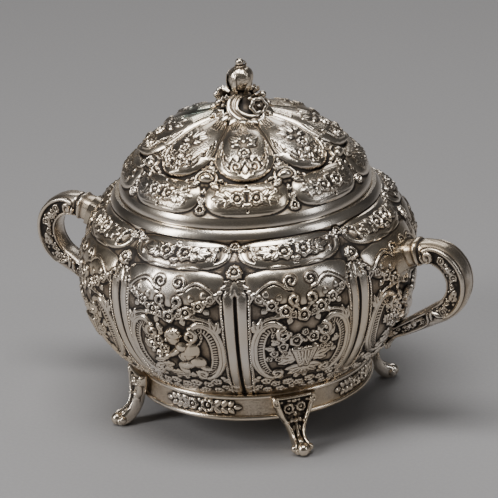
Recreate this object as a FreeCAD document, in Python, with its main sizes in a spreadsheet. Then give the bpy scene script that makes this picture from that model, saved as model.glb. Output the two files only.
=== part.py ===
# Covered silver sugar bowl: a lobed vessel on four cast feet, with two scroll handles and a loose lid.
# Millimetres, +Z up. The origin is on the floor under the middle of the bowl, and +X points to the
# right handle. Every size is a cell of the sheet "Sizes", and every piece is bound to those cells. A
# cell that starts with = follows from others, so that what rests on a size moves with it.
import FreeCAD, Part
import os
import re

import Sketcher
from FreeCAD import Vector

os.makedirs("parts", exist_ok=True)
doc = FreeCAD.newDocument("sugar_bowl")

SIZES = (
    ("seam", 0.05, "gap of a soldered joint"),
    ("lobe_count", 8, "panels round the bowl, and lobes round the lid"),
    ("wall", 0.9, "thinnest sheet, in the valleys between the lobes"),
    # vessel
    ("lobe_shift", 15, "how far the centre of a lobe lies from the centre of the bowl"),
    ("mouth_r", 40.6, "opening in the collar"),
    ("neck_lap", 4.1, "top edge of the vessel, out from the opening"),
    ("neck_r", "=mouth_r + neck_lap", "vessel under the collar"),
    ("shoulder_step", 1.7, "top of the shoulder, out from the top edge"),
    ("shoulder_r", "=neck_r + shoulder_step", "top of the shoulder"),
    ("belly_r", 56.85, "widest place"),
    ("base_r", 39.7, "vessel at its bottom edge, over the middle of a lobe"),
    ("base_z", 19.3, "bottom edge of the vessel"),
    ("belly_rise", 34, "widest place, above the bottom edge"),
    ("belly_z", "=base_z + belly_rise", "height of the widest place"),
    ("shoulder_rise", 19.8, "top of the shoulder, above the widest place"),
    ("shoulder_z", "=belly_z + shoulder_rise", "height of the top of the shoulder"),
    ("neck_rise", 2.6, "top edge of the vessel, above the shoulder"),
    ("neck_z", "=shoulder_z + neck_rise", "top edge of the vessel"),
    ("floor_thick", 1.2, "disc that closes the bottom"),
    ("pad_drop", 2.84153, "middle of a pad, below the top of the shoulder"),
    ("pad_rise", 1.4, "how far a pad stands out"),
    ("pad_aside", 17.4, "half length of the pad's egg shape"),
    ("pad_ahead", 6.4, "half width of the egg shape"),
    ("pad_deep", 5.1, "half depth of the egg shape"),
    # main masses of the chasing on a lobe
    ("strip_rise", 0.45, "how far the strips beside a valley stand out"),
    ("strip_in", 26.5, "inner edge of a strip, turned from the middle of the lobe, in degrees"),
    ("strip_up", 8.0, "top of the strips, above the widest place"),
    ("frame_lean", 18.5, "middle of the scroll frame, below the widest place, in degrees"),
    ("frame_r", 13.2, "scroll frame, from its middle"),
    ("frame_tube", 1.3, "half thickness of the scroll frame"),
    ("frame_rise", 0.6, "how far the frame stands out"),
    ("figure_rise", 0.9, "how far the figure in the frame stands out"),
    ("figure_aside", 5.2, "half width of the figure's egg shape"),
    ("figure_ahead", 6.2, "half height of the egg shape"),
    ("figure_deep", 2.6, "half depth of the egg shape"),
    ("swag_r", 18.0, "festoon, from the middle of its bend"),
    ("swag_turn", 92, "turn of the festoon, in degrees"),
    ("swag_tube", 1.5, "half thickness of the festoon"),
    ("swag_rise", 0.7, "how far the festoon stands out"),
    ("button_r", 2.6, "buttons over the valleys"),
    ("button_up", 13.1, "middle of a button, above the widest place"),
    ("button_sunk", 0.8, "middle of a button, below the surface"),
    # collar round the mouth
    ("collar_lip", 0.2, "foot of the collar, out from the vessel"),
    ("collar_r", "=neck_r + collar_lip", "foot of the collar, outside"),
    ("collar_land", 2.7, "width of the flat seat of the lid"),
    ("collar_top_r", "=mouth_r + collar_land", "flat seat of the lid, outside"),
    ("collar_height", 2.5, "height of the collar"),
    # foot band
    ("band_step", 0.7, "drum under the vessel, in from the vessel's bottom edge"),
    ("band_r", "=base_r - band_step", "drum, outside"),
    ("band_thick", 1.2, "sheet of the drum"),
    ("band_height", 9.3, "drum and its joint"),
    ("band_bottom_z", "=base_z - band_height", "lower edge of the drum"),
    ("wire_r", 0.9, "half-round wire along each edge of the drum"),
    # feet
    ("bracket_drop", 0.4, "top of a foot's bracket, below the vessel"),
    ("foot_top_z", "=base_z - bracket_drop", "top of the bracket"),
    ("bracket_half", 7.8, "half the width of the bracket"),
    ("bracket_thick", 2.3, "bracket, in and out"),
    ("bracket_fall", 4.6, "height of the bracket's straight ends"),
    ("waist_half", 2.7, "half the width of the ankle"),
    ("waist_drop", 3.6, "ankle, below the drum"),
    ("waist_z", "=band_bottom_z - waist_drop", "height of the ankle"),
    ("ankle_thick", 3.0, "ankle, in and out"),
    ("toe_half", 3.6, "half the width of the toe"),
    ("toe_rise", 3.3, "height of the toe"),
    ("toe_reach", 8.0, "middle of the toe, out from the face of the drum's wires"),
    ("toe_r", "=band_r + seam + wire_r + seam + toe_reach", "middle of the toe, from the axis"),
    ("toe_ball_r", 2.2, "middle ball of the toe"),
    ("side_ball_r", 1.7, "side balls of the toe"),
    ("toe_flat", 0.35, "depth ground off the balls to make a flat"),
    # handles
    ("handle_reach", 10.15, "top of the handle, out from the vessel's widest place"),
    ("handle_top_x", "=belly_r + handle_reach", "top of the handle, from the axis"),
    ("handle_rise", 9.8, "top of the handle's centre line, above the vessel's widest place"),
    ("handle_top_z", "=belly_z + handle_rise", "centre line at the top"),
    ("handle_lead", 20, "bend from the socket to the top"),
    ("handle_bend", 9.5, "bend at the top"),
    ("handle_side", 12.2, "bend at the side"),
    ("handle_fall", 60, "turn of the side bend, in degrees"),
    ("handle_run", 19, "straight run down to the vessel"),
    ("tail_bend", 8, "bend of the tail along the vessel"),
    ("tail_turn", 58, "turn of the tail, in degrees"),
    ("handle_depth", 4.0, "half thickness at the top, in the plane of the loop"),
    ("handle_width", 4.7, "half width at the top, across the loop"),
    ("socket_start", 135, "inner end of the socket on the first bend, in degrees"),
    ("socket_end", 112, "outer end of the socket on the first bend, in degrees"),
    ("socket_depth", 6.0, "half thickness of the socket at the vessel"),
    ("socket_width", 5.6, "half width of the socket at the vessel"),
    ("socket_lip", 0.5, "how far the socket's mouth stands proud of the handle"),
    # lid
    ("seat_gap", 0.2, "between the lid's rim and its seat"),
    ("lid_play", 0.6, "between the lid's flange and the mouth"),
    ("lid_turn", -16.5, "turn of the lid's lobes from the handle, in degrees"),
    ("rim_lap", 1.4, "lower edge of the rim moulding, out from the mouth"),
    ("rim_r", "=mouth_r + rim_lap", "lower edge of the rim moulding"),
    ("rim_step", 0.9, "upper edge of the rim moulding, in from the lower edge"),
    ("rim_top_r", "=rim_r - rim_step", "upper edge of the rim moulding"),
    ("rim_height", 3.2, "height of the rim moulding"),
    ("rim_thick", 1.9, "rim moulding, in and out"),
    ("bezel_drop", 3.6, "how far the flange goes into the mouth"),
    ("dome_rise", 22.4, "crown of the plain dome, above its lower edge"),
    ("dome_top_z", "=neck_z + collar_height + seat_gap + rim_height + 2 * seam + dome_rise",
     "crown of the plain dome"),
    ("lid_lobe_in", 18.5, "middle of a lobe, in from the dome's edge"),
    ("lid_lobe_r", "=rim_top_r - lid_lobe_in", "middle of a lobe, from the axis"),
    ("lid_lobe_ahead", 14.2, "half length of the lobe's egg shape"),
    ("lid_lobe_aside", 9.6, "half width of the egg shape"),
    ("lid_lobe_deep", 3.5, "half depth of the egg shape"),
    ("lid_lobe_rise", 1.65, "how far a lobe stands out"),
    ("flute_r", 1.7, "half thickness of the flutes between the lobes"),
    ("flute_deep", 0.2, "bottom of a flute, below the plain dome"),
    ("lid_pad_up", 3.26625, "middle of a rim pad, above the dome's lower edge"),
    ("lid_pad_rise", 1.25, "how far a rim pad stands out"),
    ("lid_pad_aside", 15.0, "half length of the rim pad's egg shape"),
    ("lid_pad_ahead", 6.9, "half width of the egg shape"),
    ("lid_pad_deep", 4.1, "half depth of the egg shape"),
    ("knob_r", 2.3, "buds between the lobes"),
    ("knob_in", 6.9, "buds, in from the dome's edge"),
    ("knob_ring_r", "=rim_top_r - knob_in", "buds, from the axis"),
    # finial
    ("finial_r", 8.6, "foot of the finial"),
    ("finial_skirt", 1.8, "height of the foot's edge"),
    ("finial_waist_r", 3.3, "neck of the finial"),
    ("finial_waist_rise", 7.5, "neck of the finial, above the crown"),
    ("finial_waist_z", "=dome_top_z + finial_waist_rise", "height of the neck"),
    ("rose_r", 3.1, "roses on the finial's foot"),
    ("rose_in", 2.7, "middle of a rose, in from the edge of the foot"),
    ("rose_ring_r", "=finial_r - rose_in", "roses, from the axis"),
    ("rose_rise", 3.1, "middle of a rose, above the crown"),
    ("rose_z", "=dome_top_z + rose_rise", "height of the roses"),
    ("rose_count", 3, "roses"),
    ("bud_r", 3.8, "widest place of the bud"),
    ("bud_rise", 5.3, "widest place of the bud, above the neck"),
    ("bud_z", "=finial_waist_z + bud_rise", "height of the bud's widest place"),
    ("bud_top_r", 1.2, "bud under its tip"),
    ("bud_cap", 3.5, "bud above its widest place"),
    ("bud_top_z", "=bud_z + bud_cap", "height of the bud under its tip"),
    ("tip_r", 1.1, "ball on the tip"),
    ("screw_r", 1.5, "pin through the lid"),
    ("screw_fit", 0.05, "round the pin"),
    ("screw_grip", 3.0, "length of the pin in the bud"),
    ("screw_tail", 0.8, "length of the pin past the nut"),
    ("washer_r", 4.2, "washer under the lid"),
    ("washer_thick", 0.8, "washer"),
    ("nut_flat_r", 3.0, "nut, from its axis to a flat"),
    ("nut_thick", 2.4, "nut"),
)
sheet = doc.addObject("Spreadsheet::Sheet", "Sizes")
for row, (alias, size, note) in enumerate(SIZES, start=1):
    sheet.set(f"A{row}", note)
    sheet.setAlias(f"B{row}", alias)
for row, (alias, size, note) in enumerate(SIZES, start=1):
    sheet.set(f"B{row}", str(size))
doc.recompute()
NAMES = {alias for alias, size, note in SIZES}

# Derived sizes, as expressions in the names of the sheet.
HALF_LOBE = "(180 / lobe_count)"


def bound(text):
    """The same expression, with its names pointing into the sheet."""
    return re.sub(r"[a-z_]+", lambda word: "Sizes." + word[0] if word[0] in NAMES else word[0], text)


def number(text):
    """What an expression comes to."""
    return float(sheet.evalExpression(bound(text)))


def bind(item, **texts):
    for name, text in texts.items():
        item.setExpression(name, bound(text))


def place(x="0", y="0", z="0", axis="vector(0; 0; 1)", angle="0"):
    """A placement as an expression."""
    return f"placement(vector({x}; {y}; {z}); rotation({axis}; {angle}))"


def upright(wide_r, wide_z, end_r, end_z):
    """Radius of the arc that is upright at its wide end and runs to the other end."""
    across = f"({wide_r} - ({end_r}))"
    return f"(({across}^2 + ({wide_z} - ({end_z}))^2) / (2 * {across}))"


def valley(lobe_r):
    """Distance of the valley between two lobes from the axis, where the lobes reach lobe_r."""
    ahead = f"lobe_shift * cos{HALF_LOBE}"
    aside = f"lobe_shift * sin{HALF_LOBE}"
    return f"({ahead} + sqrt(({lobe_r} - lobe_shift)^2 - ({aside})^2))"


def new_body(label):
    body = doc.addObject("PartDesign::Body", label)
    body.Label = label
    return body


def origin_item(body, role):
    return next(item for item in body.Origin.OriginFeatures if item.Role == role)


def arc(start, end, radius, hollow):
    """Arc of a radius from start to end. It bulges to the right of the way, or left if hollow."""
    way = end - start
    side = Vector(way.y, -way.x, 0).normalize() * (-1 if hollow else 1)
    depth = radius - (radius ** 2 - (way.Length / 2) ** 2) ** 0.5
    return Part.ArcOfCircle(start, (start + end) / 2 + side * depth, end)


def draw(body, name, plane, corners, offset=None):
    """Closed outline in a sketch on one of the body's own planes. A corner is (x, y). A third item
    is the radius of an arc to the next corner, and a fourth one makes that arc a hollow one."""
    sketch = body.newObject("Sketcher::SketchObject", name)
    sketch.AttachmentSupport = (origin_item(body, plane), [""])
    sketch.MapMode = "FlatFace"
    if offset:
        bind(sketch, AttachmentOffset=offset)
    spots = [Vector(number(corner[0]), number(corner[1]), 0) for corner in corners]
    ends = []
    for line, corner in enumerate(corners):
        start, end = spots[line], spots[(line + 1) % len(spots)]
        if len(corner) == 2:
            sketch.addGeometry(Part.LineSegment(start, end), False)
        else:
            sketch.addGeometry(arc(start, end, number(corner[2]), len(corner) == 4), False)
        first, last = (sketch.getPoint(line, point).distanceToPoint(start) for point in (1, 2))
        ends.append((1, 2) if first < last else (2, 1))
    for line, corner in enumerate(corners):
        after = (line + 1) % len(corners)
        sketch.addConstraint(Sketcher.Constraint("Coincident", line, ends[line][1], after, ends[after][0]))
        for kind, text in (("DistanceX", corner[0]), ("DistanceY", corner[1])):
            held = sketch.addConstraint(
                Sketcher.Constraint(kind, -1, 1, line, ends[line][0], number(text)))
            sketch.setExpression(f"Constraints[{held}]", bound(text))
        if len(corner) > 2:
            held = sketch.addConstraint(Sketcher.Constraint("Radius", line, number(corner[2])))
            sketch.setExpression(f"Constraints[{held}]", bound(corner[2]))
    return sketch


def add_axis(sketch, x):
    """Upright construction line at x, which a revolution can turn about."""
    foot, head = Vector(number(x), 0, 0), Vector(number(x), number("belly_z"), 0)
    line = sketch.addGeometry(Part.LineSegment(foot, head), True)
    for point, y in ((1, "0"), (2, "belly_z")):
        for kind, text in (("DistanceX", x), ("DistanceY", y)):
            held = sketch.addConstraint(Sketcher.Constraint(kind, -1, 1, line, point, number(text)))
            sketch.setExpression(f"Constraints[{held}]", bound(text))


def revolve(body, name, sketch, kind="Revolution", axis="V_Axis", angle="360"):
    item = body.newObject(f"PartDesign::{kind}", name)
    item.Profile = sketch
    item.ReferenceAxis = (sketch, [axis])
    item.Midplane = True
    bind(item, Angle=angle)
    return item


def primitive(body, kind, name, placement, **sizes):
    item = body.newObject(f"PartDesign::{kind}", name)
    bind(item, Placement=placement, **sizes)
    return item


def egg(body, name, base, tilt, sizes, kind="Additive", gap="0"):
    """Swelling on an arc in the XZ plane, given as (centre x, centre z, radius). It lies at an angle
    of tilt from upright, and its four sizes are the cells whose names start alike. As a cut it is
    grown by a gap."""
    centre_x, centre_z, radius = base
    sunk = f"({radius} + {sizes}_rise - {sizes}_deep)"
    spot = place(f"{centre_x} + {sunk} * sin({tilt})", "0", f"{centre_z} + {sunk} * cos({tilt})",
                 axis="vector(0; 1; 0)", angle=tilt)
    return primitive(body, f"{kind}Ellipsoid", name, spot, Radius1=f"{sizes}_deep + {gap}",
                     Radius2=f"{sizes}_ahead + {gap}", Radius3=f"{sizes}_aside + {gap}")


def polar(body, name, originals, count, whole=False):
    if whole:
        doc.recompute()
    item = body.newObject("PartDesign::PolarPattern", name)
    item.Axis = (origin_item(body, "Z_Axis"), [""])
    item.Angle = 360
    if whole:
        item.TransformMode = "Whole shape"
    else:
        item.Originals = originals
    bind(item, Occurrences=count)
    body.Tip = item
    return item


def ring(label, corners):
    """Piece turned about the axis of the bowl."""
    body = new_body(label)
    revolve(body, f"{label}_turned", draw(body, f"{label}_section", "XZ_Plane", corners))
    return body


# Vessel: one sheet, raised into eight lobes. Each lobe is turned about its own upright axis.
UPPER_ARC = upright("belly_r", "belly_z", "shoulder_r", "shoulder_z")
LOWER_ARC = upright("belly_r", "belly_z", "base_r", "base_z")
FAR = "(3 * belly_r)"


def lobe_outline(gap="0"):
    """Outside of a lobe, down to its core, grown by a gap."""
    core = "(1.5 * lobe_shift)"
    return [
        (core, f"base_z - {gap}"),
        (f"base_r + {gap}", f"base_z - {gap}",
         upright(f"belly_r + {gap}", "belly_z", f"base_r + {gap}", f"base_z - {gap}")),
        (f"belly_r + {gap}", "belly_z",
         upright(f"belly_r + {gap}", "belly_z", f"shoulder_r + {gap}", "shoulder_z")),
        (f"shoulder_r + {gap}", "shoulder_z"),
        (f"neck_r + {gap}", "neck_z"),
        (core, "neck_z"),
    ]


def high_r(up):
    """Outside of a lobe at a height above its widest place."""
    return f"(belly_r - {UPPER_ARC} + sqrt({UPPER_ARC}^2 - ({up})^2))"


def on_lobe(sunk, across, turn):
    """Placement in the XZ plane for a shape that lies flat on the lower arc of a lobe, turned up
    from the widest place. across is its distance from its own axis, where sunk is measured."""
    away = f"sqrt(({LOWER_ARC} - ({sunk}))^2 - ({across})^2)"
    return (f"belly_r - {LOWER_ARC} + {away} * cos({turn})", f"belly_z + {away} * sin({turn})")


def add_masses(body, prefix, kind, gap):
    """Scroll frame, figure and festoon of the panel on the XZ plane, or cuts round them with a gap.
    Each is handed over before the next one is made, so that it can be patterned first."""
    lean = "(90 + frame_lean)"
    x, z = on_lobe("frame_tube - frame_rise", "frame_r", "-frame_lean")
    yield primitive(body, f"{kind}Torus", f"{prefix}_frame", place(x, "0", z, "vector(0; 1; 0)", lean),
                    Radius1="frame_r", Radius2=f"frame_tube + {gap}")
    panel = (f"(belly_r - {LOWER_ARC})", "belly_z", LOWER_ARC)
    yield egg(body, f"{prefix}_figure", panel, lean, "figure", kind, gap)
    bend = f"(swag_r / {LOWER_ARC})"
    x, z = on_lobe("swag_tube - swag_rise", "swag_r", f"asin{bend}")
    turns = f"rotation(vector(0; 1; 0); acos{bend}) * rotation(vector(0; 0; 1); -swag_turn / 2)"
    yield primitive(body, f"{kind}Torus", f"{prefix}_swag", f"placement(vector({x}; 0; {z}); {turns})",
                    Radius1="swag_r", Radius2=f"swag_tube + {gap}", Angle3="swag_turn")


def make_bowl_body():
    body = new_body("bowl_body")
    # the lobe with its strips, then what lies between the strips is cut back to the lobe
    proud = "(belly_r + strip_rise)"
    proud_arc = upright(proud, "belly_z", "shoulder_r + strip_rise", "shoulder_z")
    strip_top = ("belly_z + strip_up", f"{proud} - {proud_arc} + sqrt({proud_arc}^2 - strip_up^2)")
    outside = [
        ("(1.5 * lobe_shift)", "base_z"),
        ("base_r + strip_rise", "base_z", upright(proud, "belly_z", "base_r + strip_rise", "base_z")),
        (proud, "belly_z", proud_arc),
        (strip_top[1], strip_top[0]),
        (high_r("strip_up"), strip_top[0], UPPER_ARC),
        ("shoulder_r", "shoulder_z"),
        ("neck_r", "neck_z"),
        ("(1.5 * lobe_shift)", "neck_z"),
    ]
    lobe = draw(body, "lobe_section", "XZ_Plane", outside)
    add_axis(lobe, "lobe_shift")
    revolve(body, "lobe", lobe, axis="Axis0", angle="90")
    panel = [("base_r", "base_z", LOWER_ARC), ("belly_r", "belly_z", UPPER_ARC),
             (high_r("strip_up"), strip_top[0]), ("2 * belly_r", strip_top[0]), ("2 * belly_r", "base_z")]
    between = draw(body, "panel_section", "XZ_Plane", panel)
    add_axis(between, "lobe_shift")
    revolve(body, "panel", between, kind="Groove", axis="Axis0", angle="2 * strip_in")
    slope = f"{FAR} * tan{HALF_LOBE}"
    beyond = [("0", "0"), (FAR, slope), (FAR, FAR), (f"-{FAR}", FAR), (f"-{FAR}", f"-{FAR}"),
              (FAR, f"-{FAR}"), (FAR, f"-{slope}")]
    trim = body.newObject("PartDesign::Pocket", "lobe_trim")
    trim.Profile = draw(body, "lobe_trim_outline", "XY_Plane", beyond)
    trim.Type = "ThroughAll"
    trim.Midplane = True
    polar(body, "lobes", [], "lobe_count", whole=True)
    pad = egg(body, "pad", (f"(belly_r - {UPPER_ARC})", "belly_z", UPPER_ARC),
              f"acos((shoulder_rise - pad_drop) / {UPPER_ARC})", "pad")
    polar(body, "pads", [pad], "lobe_count")

    # the chasing's main masses on each panel, and the buttons between the pads
    for mass in add_masses(body, "panel", "Additive", "0"):
        polar(body, f"{mass.Name}s", [mass], "lobe_count")
    button_at = f"({valley(high_r('button_up'))} - button_sunk)"
    button = primitive(body, "AdditiveSphere", "button",
                       place(f"{button_at} * cos{HALF_LOBE}", f"{button_at} * sin{HALF_LOBE}",
                             "belly_z + button_up - button_sunk / 2"), Radius="button_r")
    polar(body, "buttons", [button], "lobe_count")

    inner = {name: f"{valley(name)} - wall" for name in ("base_r", "belly_r", "shoulder_r", "neck_r")}
    inside = [
        ("0", "base_z"),
        (inner["base_r"], "base_z", upright(inner["belly_r"], "belly_z", inner["base_r"], "base_z")),
        (inner["belly_r"], "belly_z",
         upright(inner["belly_r"], "belly_z", inner["shoulder_r"], "shoulder_z - wall")),
        (inner["shoulder_r"], "shoulder_z - wall"),
        (inner["neck_r"], "neck_z"),
        ("0", "neck_z"),
    ]
    revolve(body, "inside", draw(body, "inside_section", "XZ_Plane", inside), kind="Groove")
    return body


def make_bowl_floor():
    edge = f"({valley('base_r')} - wall - seam)"
    return ring("bowl_floor", [("0", "base_z"), (edge, "base_z"), (edge, "base_z + floor_thick"),
                               ("0", "base_z + floor_thick")])


# Collar round the mouth, and the drum under the vessel with its two wires.
COLLAR_BOTTOM = "(neck_z + seam)"
COLLAR_TOP = "(neck_z + seam + collar_height)"
BAND_TOP = "(base_z - seam)"


def make_neck_ring():
    return ring("neck_ring", [
        ("mouth_r", COLLAR_BOTTOM),
        ("collar_r", COLLAR_BOTTOM, "2 * collar_height"),
        ("collar_top_r", COLLAR_TOP),
        ("mouth_r", COLLAR_TOP),
    ])


def make_foot_band():
    return ring("foot_band", [("band_r - band_thick", "band_bottom_z"), ("band_r", "band_bottom_z"),
                              ("band_r", BAND_TOP), ("band_r - band_thick", BAND_TOP)])


def make_wire(label, middle_z):
    face = "band_r + seam"
    return ring(label, [(face, f"{middle_z} - wire_r", "wire_r * 1.001"), (face, f"{middle_z} + wire_r")])


# Feet: a bracket on the drum, an ankle and a three-ball toe.
BRACKET_R = "(band_r + seam + wire_r + seam)"


def make_foot(label, angle):
    body = new_body(label)
    bind(body, Placement=place(angle=angle))
    side = [
        ("band_r - band_thick", "band_bottom_z - wire_r"),
        (f"{BRACKET_R} + 4 * seam", "band_bottom_z - wire_r", "4 * toe_rise", "hollow"),
        ("toe_r - 2 * toe_ball_r", "0"),
        ("toe_r + toe_ball_r / 2", "0"),
        ("toe_r + toe_ball_r", "toe_ball_r"),
        ("toe_r + toe_ball_r / 2", "toe_rise", "2.4 * toe_rise", "hollow"),
        (f"{BRACKET_R} + ankle_thick", "waist_z + toe_rise / 2"),
        (f"{BRACKET_R} + bracket_thick", "foot_top_z"),
        ("band_r - band_thick", "foot_top_z"),
    ]
    plate = body.newObject("PartDesign::Pad", f"{label}_plate")
    plate.Profile = draw(body, f"{label}_side", "XZ_Plane", side)
    plate.Midplane = True
    bind(plate, Length="2 * bracket_half")

    for name, sign in (("left", ""), ("right", "-")):
        edge = [
            (f"{sign}bracket_half * 2", "foot_top_z - bracket_fall"),
            (f"{sign}bracket_half", "foot_top_z - bracket_fall"),
            (f"{sign}waist_half", "waist_z + toe_rise / 2"),
            (f"{sign}waist_half", "waist_z - toe_rise / 3"),
            (f"{sign}toe_half", "toe_rise"),
            (f"{sign}toe_half", "-toe_rise"),
            (f"{sign}bracket_half * 2", "-toe_rise"),
        ]
        cut = body.newObject("PartDesign::Pocket", f"{label}_{name}_edge")
        cut.Profile = draw(body, f"{label}_{name}_outline", "YZ_Plane", edge)
        cut.Type = "ThroughAll"
        cut.Midplane = True
    hug = [("0", "band_bottom_z - 2 * wire_r"), (BRACKET_R, "band_bottom_z - 2 * wire_r"),
           (BRACKET_R, "base_z + wire_r"), ("0", "base_z + wire_r")]
    revolve(body, f"{label}_seat", draw(body, f"{label}_seat_section", "XZ_Plane", hug), kind="Groove")

    primitive(body, "AdditiveSphere", f"{label}_ball", place("toe_r", "0", "toe_ball_r - toe_flat"),
              Radius="toe_ball_r")
    for name, sign in (("left", ""), ("right", "-")):
        primitive(body, "AdditiveSphere", f"{label}_{name}_ball",
                  place("toe_r - side_ball_r", f"{sign}toe_half", "side_ball_r - toe_flat"),
                  Radius="side_ball_r")
    floor = [("band_r", "0"), ("2 * toe_r", "0"), ("2 * toe_r", "-toe_rise"), ("band_r", "-toe_rise")]
    ground = body.newObject("PartDesign::Pocket", f"{label}_ground")
    ground.Profile = draw(body, f"{label}_ground_outline", "XZ_Plane", floor)
    ground.Type = "ThroughAll"
    ground.Midplane = True
    return body


# Handles: a tapering bar lofted along tangent bends in the XZ plane. A station of the bar is
# (centre x, centre z, bend radius, angle on the bend, half thickness, half width).
LEAD = ("handle_top_x", "(handle_top_z - handle_lead)", "handle_lead")
BEND = ("handle_top_x", "(handle_top_z - handle_bend)", "handle_bend")
SIDE = ("(handle_top_x + handle_bend - handle_side)", "(handle_top_z - handle_bend)", "handle_side")


def slid(share):
    """The side bend, moved along the straight run by a share of it."""
    return (f"({SIDE[0]} - {share} * handle_run * sin(handle_fall))",
            f"({SIDE[1]} - {share} * handle_run * cos(handle_fall))", "handle_side")


TAIL = (f"({slid(1)[0]} + (handle_side + tail_bend) * cos(handle_fall))",
        f"({slid(1)[1]} - (handle_side + tail_bend) * sin(handle_fall))", "-tail_bend")
BAR = (
    (LEAD, "socket_end", 1.12, 1.02),
    (LEAD, "90", 1.02, 1.02),
    (BEND, "45", 1.0, 1.0),
    (BEND, "0", 1.02, 1.0),
    (SIDE, "-handle_fall / 2", 0.98, 0.96),
    (SIDE, "-handle_fall", 0.9, 0.92),
    (slid(0.5), "-handle_fall", 0.8, 0.84),
    (slid(1), "-handle_fall", 0.68, 0.74),
    (TAIL, "tail_turn * 0.6 - handle_fall", 0.48, 0.55),
    (TAIL, "tail_turn - handle_fall", 0.24, 0.3),
)


def draw_station(body, name, bend, angle, depth, width):
    """Pillow-shaped section across the bar: four gently bulging sides."""
    centre_x, centre_z, radius = bend
    corner, bulge = 0.8, 0.2
    inner, outer = f"{radius} - {corner} * {depth}", f"{radius} + {corner} * {depth}"
    flank = f"({corner} * {width})"
    short = f"({corner} * {depth})"
    face = f"(({flank}^2 + ({bulge} * {depth})^2) / (2 * {bulge} * {depth}))"
    cheek = f"(({short}^2 + ({bulge} * {width})^2) / (2 * {bulge} * {width}))"
    corners = [(inner, f"-{flank}", cheek), (outer, f"-{flank}", face), (outer, flank, cheek),
               (inner, flank, face)]
    offset = place(centre_x, "0", centre_z, axis="vector(0; -1; 0)", angle=angle)
    return draw(body, name, "XY_Plane", corners, offset)


def loft(body, name, sections):
    item = body.newObject("PartDesign::AdditiveLoft", name)
    item.Profile = sections[0]
    item.Sections = sections[1:]
    return item


def fit_to_vessel(body, label):
    """Cuts a piece back to the lobe that it is soldered to."""
    section = draw(body, f"{label}_seat_section", "XZ_Plane", lobe_outline("seam"))
    add_axis(section, "lobe_shift")
    revolve(body, f"{label}_seat", section, kind="Groove", axis="Axis0", angle="90")
    list(add_masses(body, label, "Subtractive", "seam"))


def make_handle(label, angle):
    body = new_body(label)
    bind(body, Placement=place(angle=angle))
    sections = [
        draw_station(body, f"{label}_section_{step}", bend, turn, f"({depth} * handle_depth)",
                     f"({width} * handle_width)")
        for step, (bend, turn, depth, width) in enumerate(BAR)
    ]
    loft(body, f"{label}_bar", sections)
    fit_to_vessel(body, label)
    return body


def make_handle_socket(label, angle):
    body = new_body(label)
    bind(body, Placement=place(angle=angle))
    first, last = BAR[0][2], BAR[0][3]
    mouth = (f"({first} * handle_depth + socket_lip)", f"({last} * handle_width + socket_lip)")
    loft(body, f"{label}_cone", [
        draw_station(body, f"{label}_root", LEAD, "socket_start", "socket_depth", "socket_width"),
        draw_station(body, f"{label}_middle", LEAD, "(socket_start + socket_end) / 2", *mouth),
        draw_station(body, f"{label}_mouth", LEAD, "socket_end", *mouth),
    ])
    fit_to_vessel(body, label)
    return body


# Lid: a chased dome on a plain rim, with a flange that drops into the mouth.
LID_BOTTOM = f"({COLLAR_TOP} + seat_gap)"
DOME_Z = f"({LID_BOTTOM} + rim_height + seam)"
DOME_RISE = f"(dome_top_z - {DOME_Z})"
DOME_ARC = f"((rim_top_r^2 + {DOME_RISE}^2) / (2 * {DOME_RISE}))"
DOME_CENTRE_Z = f"(dome_top_z - {DOME_ARC})"
FLANGE_R = "(mouth_r - lid_play)"
BORE = "(screw_r + screw_fit)"


def make_lid_rim():
    return ring("lid_rim_moulding", [
        ("rim_r - rim_thick", LID_BOTTOM),
        ("rim_r", LID_BOTTOM, "2 * rim_height"),
        ("rim_top_r", f"{LID_BOTTOM} + rim_height"),
        ("rim_r - rim_thick", f"{LID_BOTTOM} + rim_height"),
    ])


def make_lid_bezel():
    outer = "(rim_r - rim_thick - seam)"
    top, bottom = f"({LID_BOTTOM} + rim_height)", f"({LID_BOTTOM} - bezel_drop)"
    return ring("lid_bezel", [
        (f"{FLANGE_R} - wall", bottom), (FLANGE_R, bottom), (FLANGE_R, LID_BOTTOM),
        (outer, LID_BOTTOM), (outer, top), (f"{FLANGE_R} - wall", top),
    ])


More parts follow.
